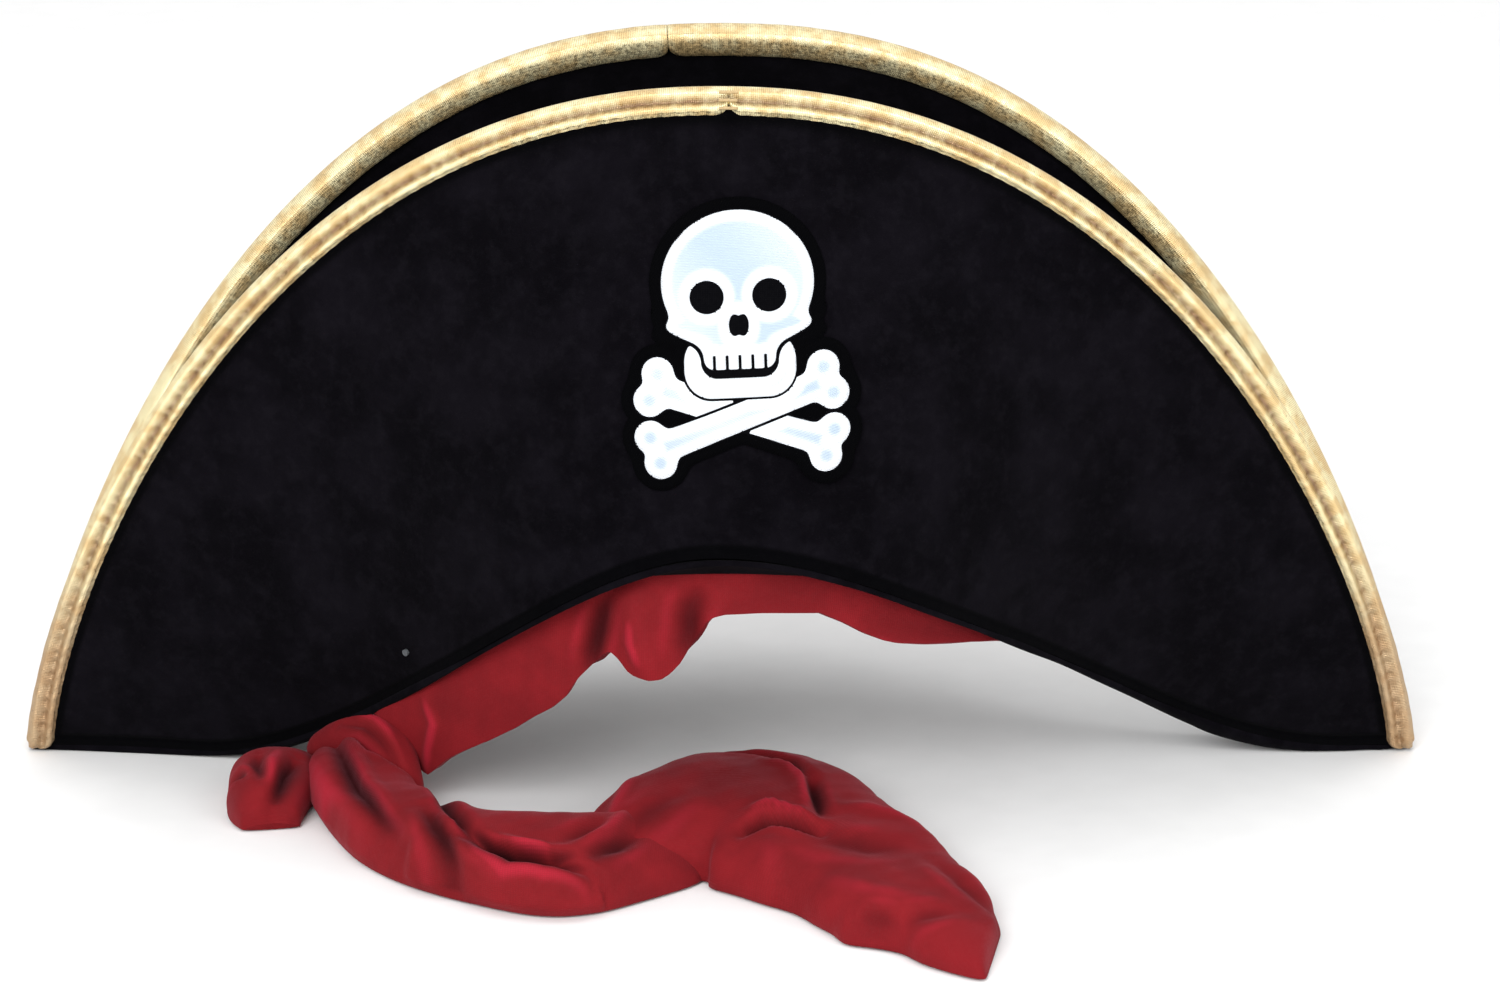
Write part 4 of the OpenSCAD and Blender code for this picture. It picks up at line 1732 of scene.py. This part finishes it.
@dataclass(frozen=True)
class Twist:
    """A rolled strand of cloth along a line in the air.

    Its stations are x, y, z and its two radii, in millimetres.
    """

    name: str
    stations: tuple[tuple[float, float, float, float, float], ...]
    folds: tuple[Fold, ...]
    along: int = 140
    around: int = 90
    wavy: float = 0.4

    def build(self, material: bpy.types.Material) -> Piece:
        """Sweep the strand and crumple it.

        Args:
            material: The finish it wears.

        Returns:
            The closed piece.
        """
        piece, s, turn = new_grid(self.name, self.along, self.around)
        row = smooth_line(self.stations, s)
        ahead = smooth_line(self.stations, s + 0.01) - smooth_line(self.stations, s - 0.01)
        way = ahead[:, :3] / np.linalg.norm(ahead[:, :3], axis=1)[:, None]
        side = np.cross(way, (0.0, 0.0, 1.0))
        side /= np.linalg.norm(side, axis=1)[:, None]
        up = np.cross(side, way)
        theta = turn * 2 * math.pi
        end = np.minimum(s, 1 - s)
        shut = np.sqrt(np.clip(1 - (1 - np.clip(end / 0.10, 0, 1)) ** 2, 0.02, 1))
        points = (row[:, :3] + side * (row[:, 3] * np.cos(theta) * shut)[:, None]
                  + up * (row[:, 4] * np.sin(theta) * shut)[:, None]) * MM
        set_points(piece, points)
        add_uv(piece, np.stack([s * 0.06, turn * 0.04], axis=1))
        weld(piece, 0.01 * MM)
        face_outwards(piece, fill=True)
        points = points_of(piece)
        crumple(piece, points[:, :2] / MM, self.folds, np.ones(len(points)), self.wavy)
        points = points_of(piece)
        points[:, 2] = np.maximum(points[:, 2], 0.12 * MM)
        set_points(piece, points)
        smooth(piece, 85)
        dress(piece, material)
        return piece


V, R, L = Crease.VALLEY, Crease.RIDGE, Crease.LAP

FIRST_STRETCH = Roll(
    "tail_first_cloth",
    ((-108, -32, 0, 15, 15), (-106.5, -46, 4, 15.5, 17), (-103.5, -60, 11, 14.5, 17),
     (-98, -75, 22, 14.5, 17), (-90.5, -88, 40, 16, 17.5), (-80.5, -99, 59, 17.5, 18),
     (-67, -108, 76, 19.5, 18), (-50, -114, 88, 23, 18), (-36, -110, 92, 25.5, 16.5),
     (-22, -102, 95, 23.5, 13), (-7, -94, 98, 19, 7)),
    (
        Fold(V, ((-117, -28), (-113, -48), (-106, -76), (-97, -98), (-89, -112)), 2.3, 4.6),
        Fold(R, ((-114, -34), (-110, -52), (-103, -78), (-94, -101), (-86, -115)), 2.6, 2.2),
        Fold(R, ((-123, -36), (-120, -50), (-113, -72), (-104, -88)), 2.4, 1.8),
        Fold(V, ((-106, -38), (-101, -50), (-93, -57)), 2.4, 6.0),
        Fold(R, ((-103, -34), (-97, -46), (-90, -53)), 2.2, 1.6),
        Fold(V, ((-90, -48), (-83, -70), (-77, -98), (-71, -116), (-64, -124)), 2.2, 3.4),
        Fold(L, ((-34, -134), (-48, -133), (-58, -130), (-66, -123), (-74, -112)), 2.2, 4.6),
        Fold(V, ((-76, -114), (-68, -121), (-58, -128), (-48, -131), (-36, -133)), 1.9, 5.0),
        Fold(V, ((-84, -97), (-81, -110), (-76, -121), (-72, -129)), 2.4, 3.2),
        Fold(R, ((-60, -122), (-53, -126), (-46, -128)), 1.8, 1.8),
        Fold(V, ((-50, -130), (-45, -129), (-39, -128)), 1.6, 2.4),
        Fold(V, ((-46, -125), (-38, -115), (-31, -103)), 2.6, 2.0),
        Fold(V, ((-37, -129), (-28, -117), (-22, -104)), 2.6, 2.8),
        Fold(R, ((-38, -122), (-31, -108), (-26, -92)), 2.6, 2.0),
    ))

LAST_STRETCH = Roll(
    "tail_last_cloth",
    ((-37, -92, 100, 15, 8), (-27, -89, 97, 24, 15.5), (-14, -79, 89, 34, 18),
     (0, -73, 84, 39, 17.5), (14.5, -78.5, 66, 41.5, 17.5), (30, -101, 46, 32.5, 16),
     (48.5, -129.5, 42, 26, 14), (60, -146, 50, 21.5, 13), (70, -160, 66, 18, 10),
     (76, -166, 80, 17, 7)),
    (
        Fold(V, ((0, -44), (12, -48), (20, -56), (25, -68)), 2.0, 3.4),
        Fold(R, ((12, -58), (20, -64), (24, -76), (25, -90), (26, -102)), 1.8, 2.2),
        Fold(V, ((27, -70), (28, -84), (30, -100)), 2.0, 3.4),
        Fold(R, ((8, -99), (14, -95), (20, -98), (26, -103)), 1.9, 2.6),
        Fold(V, ((7, -109), (14, -104), (20, -106), (29, -111)), 2.4, 7.0),
        Fold(V, ((24, -110), (33, -117), (42, -120), (54, -117)), 5.2, 1.9),
        Fold(R, ((12, -113), (15, -122), (18, -132)), 5.0, 1.6),
        Fold(R, ((34, -92), (44, -92), (54, -96), (62, -108)), 3.4, 1.8),
        Fold(V, ((-30, -106), (-20, -98), (-10, -84)), 4.5, 1.6),
        Fold(R, ((-32, -100), (-28, -82), (-24, -66)), 2.6, 1.4),
        Fold(V, ((50, -162), (58, -161), (66, -158)), 3.0, 1.8),
        Fold(V, ((38, -156), (44, -158), (50, -161)), 2.2, 1.6),
        Fold(R, ((26, -134), (42, -148), (60, -156)), 4.0, 1.0),
        Fold(V, ((60, -126), (68, -140), (78, -152)), 3.0, 1.8),
    ),
    hem=((0.62, 0.03, -2.0), (0.72, 0.03, 3.2), (0.80, 0.03, -1.8)))

SHORT_END = Roll(
    "short_end_cloth",
    ((-130, -25, 0, 11, 5), (-131.5, -34, 1, 13, 11), (-133, -42, 2, 13.5, 14),
     (-133, -51, 4, 13, 14.5),
     (-133.5, -58, 6, 12, 14.5), (-133, -65, 8, 10.5, 11.5), (-131.5, -71, 10, 8.5, 6.5)),
    (
        Fold(V, ((-125, -46), (-126, -54), (-128, -63), (-131, -71)), 2.2, 4.6),
        Fold(V, ((-137, -46), (-137, -54), (-134, -64)), 1.8, 2.8),
        Fold(R, ((-131, -44), (-132, -54), (-132, -66)), 2.2, 1.2),
        Fold(V, ((-147, -54), (-143, -57), (-139, -61)), 1.6, 2.4),
    ), along=110, around=110, wavy=0.6)

KNOT = Twist(
    "knot_cloth",
    ((-124, -24, 6, 5, 4), (-115, -27, 11.5, 7.5, 6), (-107, -32.5, 14.5, 8.4, 7.4),
     (-100.5, -39.5, 15, 8.6, 7.4), (-96.5, -48.5, 12.8, 7, 6.2), (-93, -56, 8, 5.6, 4.8),
     (-91, -61, 2.5, 4, 3)),
    (
        Fold(V, ((-114, -33), (-106, -40), (-99, -50), (-94, -59)), 1.4, 1.8),
        Fold(R, ((-110, -31), (-102, -39), (-96, -49)), 1.8, 0.8),
    ))


@dataclass(frozen=True)
class BandShape:
    """The strip sewn inside the head opening, in millimetres.

    In front it hangs just inside the fold and runs straight to the knot, where
    its end is folded back; behind it follows the opening.
    """

    front: tuple[tuple[float, float], ...] = (
        (97, -14), (91, -31), (81, -46.5), (64.5, -61), (51, -69), (35, -75), (12, -79.4),
        (-4, -80), (-24, -78), (-44, -72.8), (-56, -68), (-68, -62), (-80, -54.5),
        (-91, -47), (-98, -42.5), (-102.5, -38.5))
    turn: tuple[tuple[float, float], ...] = ((-104, -34.5), (-102.5, -28), (-99, -16))
    hem: tuple[tuple[float, float], ...] = (
        (-98, 14), (-95, 10.5), (-89, 9), (-84.3, 12.6), (-79.6, 16.3), (-71.9, 21.6),
        (-64.2, 26.7), (-58.2, 30.9), (-52.2, 35.7), (-47.7, 38.8), (-43.5, 42.8), (-40.3, 48.4),
        (-36.4, 53.3), (-32.9, 57), (-30.5, 58.5), (-28.5, 56.8), (-25.6, 53.1), (-23.6, 52.1),
        (-19, 51.3), (-15.5, 51.7), (-13.2, 53.1), (-10.6, 55.9), (-8.6, 60), (-6.2, 64.3),
        (-3.9, 68), (-1.6, 69.8), (1.8, 70.7), (12, 70.9), (28.6, 70.1), (35, 66.6), (41.4, 62.4),
        (46.7, 59.5), (50.8, 58.1), (64.4, 55.2), (73.5, 53), (81.2, 50.9), (98, 44))
    half_x: float = 98.6
    half_y: float = 78.8
    opening_z: float = 83.0
    opening_dip: float = 24.0
    behind_h: float = 18.0
    slant: float = 6.0
    folds: tuple[Fold, ...] = (
        Fold(R, ((-25, 84), (-23, 70), (-19, 50), (-18, 40)), 6.5, 5.2),
        Fold(V, ((-32, 78), (-34, 68), (-37, 56), (-38, 48)), 2.6, 3.0),
        Fold(V, ((-4, 80), (-8, 72), (-9, 62), (-9, 54)), 3.2, 2.6),
        Fold(R, ((-25, 70), (-25, 62), (-22, 54)), 1.8, 1.2),
        Fold(R, ((-88, 36), (-84, 26), (-86, 17), (-87, 8)), 1.6, 1.1),
        Fold(V, ((-6, 78), (20, 76), (46, 69)), 4.0, 1.0),
        Fold(V, ((40, 70), (56, 62), (76, 54)), 3.0, 1.2),
    )

    def ring(self) -> Array:
        """The strip's line in plan, once round from the right.

        Returns:
            Rows of x and y in millimetres.
        """
        behind = np.radians(np.linspace(168, 0, 40))
        back = np.stack([self.half_x * np.cos(behind), self.half_y * np.sin(behind)], axis=1)
        stops = np.concatenate([np.array(self.front), np.array(self.turn), back])
        steps = np.linalg.norm(np.diff(stops, axis=0), axis=1)
        run = np.concatenate([[0.0], np.cumsum(steps)])
        even = np.interp(np.linspace(0, run[-1], 1500), run, np.arange(len(stops)))
        return smooth_line(stops, even / (len(stops) - 1))

    def build(self, form: HatForm, material: bpy.types.Material) -> Piece:
        """Hang the strip, press its ripples in and give it thickness.

        Args:
            form: The hat's shape.
            material: The finish it wears.

        Returns:
            The closed piece.
        """
        piece, u, v = new_grid("band_cloth", 620, 34)
        ring = self.ring()
        share = np.linspace(0, 1, len(ring))
        x, y = np.interp(u, share, ring[:, 0]), np.interp(u, share, ring[:, 1])
        angle = np.arctan2(y / self.half_y, x / self.half_x)
        rim = self.opening_z - self.opening_dip * np.cos(angle) ** 2
        front = 1 - ease(y, -30, 6)
        top = np.minimum(form.fold_z(x * MM) / MM, rim) * front + rim * (1 - front) + 0.6
        hem = np.array(self.hem)
        low = np.interp(x, hem[:, 0], hem[:, 1]) * front + (rim - self.behind_h) * (1 - front)
        low = np.minimum(low, top - 2)
        drop = 1 - v
        left = ease(-x, 74, 96) * front
        z = top * (1 - drop) + low * drop
        spread = 2.2 * drop * front
        nose = np.hypot(x, y)
        points = np.stack([x * (1 + spread / nose) + self.slant * drop * left,
                           y * (1 + spread / nose), z], axis=1) * MM
        set_points(piece, points)
        add_uv(piece, np.stack([u * 0.56, z * MM], axis=1))
        weld(piece, 0.01 * MM)
        face_outwards(piece)
        points = points_of(piece)
        chart = points[:, [0, 2]] / MM
        free = (points[:, 1] < -0.02).astype(float) * ease(form.fold_z(points[:, 0])
                                                           - points[:, 2], -2 * MM, 8 * MM)
        crumple(piece, chart, self.folds, free, 0.7)
        finish_modifier(piece, "SOLIDIFY", thickness=2.0 * MM, offset=-1.0)
        finish_modifier(piece, "BEVEL", width=0.9 * MM, segments=3, limit_method="ANGLE",
                        angle_limit=math.radians(60))
        smooth(piece, 85)
        dress(piece, material)
        return piece


@dataclass
class RedCloth:
    """The band round the head opening, the knot and the loose tail."""

    form: HatForm
    wardrobe: Wardrobe
    band: BandShape = field(default_factory=BandShape)

    @staticmethod
    def seen_area(piece: Piece) -> float:
        """Half of a closed piece's surface: the cloth on one of its sides."""
        return sum(face.area for face in piece.data.polygons) / 2

    def build(self) -> list[Piece]:
        """Make every red piece and log how much cloth each shows.

        Returns:
            The five pieces.
        """
        red = self.wardrobe.cloth
        band = self.band.build(self.form, red)
        knot, short_end = KNOT.build(red), SHORT_END.build(red)
        for piece, node in ((band, "band"), (knot, "knot"), (short_end, "short_end")):
            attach(piece, HAT)
            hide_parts(node)
        first, last = FIRST_STRETCH.build(red), LAST_STRETCH.build(red)
        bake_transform(first)
        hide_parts("tail_first_stretch")
        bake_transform(last)
        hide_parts("tail_last_stretch")
        for piece in (band, knot, short_end, first, last):
            log.info("%s: %.5f m2 of cloth", piece.name, self.seen_area(piece))
        return [band, knot, short_end, first, last]


# ----------------------------------------------------------------- stitches


class Stitches:
    """Small sewn threads: the CAD bars are kept and dressed."""

    def __init__(self, wardrobe: Wardrobe) -> None:
        """Keep the wardrobe at hand."""
        self.wardrobe = wardrobe

    def build(self) -> None:
        """Dress the kept thread nodes."""
        plan = (
            ("braid_join_stitches", self.wardrobe.gold_thread, "gold_thread"),
            ("tip_stitches", self.wardrobe.black_satin, "black_thread"),
            ("front_tack", self.wardrobe.grey_thread, "grey_thread"),
            ("band_stitches", self.wardrobe.red_thread, "red_thread"),
        )
        for node, material, slot in plan:
            dress(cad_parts[node], material)
        log.info("stitches: %d groups", len(plan))


# ------------------------------------------------------------------- studio


@dataclass
class Studio:
    """Pale floor, soft lights and the camera."""

    elevation: float = 18.0
    distance: float = 1.5
    view_w: float = 0.453
    sensor: float = 36.0
    target: tuple[float, float, float] = (9 * MM, 0.0, 78 * MM)

    def floor(self) -> Piece:
        """A wide pale floor.

        Returns:
            The floor.
        """
        clear_selection()
        bpy.ops.mesh.primitive_plane_add(size=14, location=(0, 0, -0.3 * MM))
        piece = bpy.context.active_object
        piece.name = "studio_floor"
        s = Shader("floor_pale")
        grain = s.noise(s.place(), 60, 2)
        s.set("Base Color", s.blend(s.span(grain, 0.3, 0.7, 0.0, 1.0),
                                    (0.86, 0.86, 0.86, 1), (0.88, 0.88, 0.88, 1)))
        s.plain(Roughness=0.95, Specular_IOR_Level=0.1)
        piece.data.materials.append(s.material)
        return piece

    def light(self, name: str, place: tuple[float, float, float], size: float,
              power: float) -> None:
        """One square soft light that looks at the hat.

        Args:
            name: Its name.
            place: Where it hangs.
            size: Length of its side in metres.
            power: Its power in watts.
        """
        clear_selection()
        bpy.ops.object.light_add(type="AREA", location=place)
        lamp = bpy.context.active_object
        lamp.name = name
        lamp.data.size = size
        lamp.data.energy = power
        aim = Vector((0, 0, 0.1)) - Vector(place)
        lamp.rotation_euler = aim.to_track_quat("-Z", "Y").to_euler()

    def camera(self) -> None:
        """The camera, level to the hat's front and slightly above it."""
        tilt = math.radians(self.elevation)
        target = Vector(self.target)
        place = target + self.distance * Vector((0, -math.cos(tilt), math.sin(tilt)))
        clear_selection()
        bpy.ops.object.camera_add(location=place)
        camera = bpy.context.active_object
        camera.rotation_euler = (target - place).to_track_quat("-Z", "Y").to_euler()
        camera.data.sensor_width = self.sensor
        camera.data.lens = self.sensor * self.distance / self.view_w
        camera.data.clip_end = 30
        bpy.context.scene.camera = camera

    def build(self) -> None:
        """Set up floor, lights, world and camera."""
        scene = bpy.context.scene
        self.floor()
        self.light("key", (-0.7, -1.9, 1.3), 1.2, 38)
        self.light("fill", (1.5, -1.5, 0.8), 1.4, 16)
        self.light("top", (0.1, 0.5, 2.2), 1.4, 12)
        world = bpy.data.worlds.new("studio")
        world.use_nodes = True
        background = world.node_tree.nodes["Background"]
        background.inputs["Color"].default_value = (1.0, 1.0, 1.0, 1)
        background.inputs["Strength"].default_value = 0.80
        scene.world = world
        scene.view_settings.view_transform = "Standard"
        self.camera()
        log.info("studio ready")


def main() -> None:
    """Build every sub-assembly in order."""
    logging.basicConfig(level=logging.INFO, format="%(name)s: %(message)s")
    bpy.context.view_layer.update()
    form = HatForm.from_frame()
    wardrobe = Wardrobe()
    for side in Side:
        Flap(form, wardrobe, side).build()
        for hand in Hand:
            Binding(form, wardrobe, side, hand).build()
    InnerHat(wardrobe).build()
    Patch(form, wardrobe).build()
    RedCloth(form, wardrobe).build()
    Stitches(wardrobe).build()
    Studio().build()


if __name__ == "__main__":
    main()
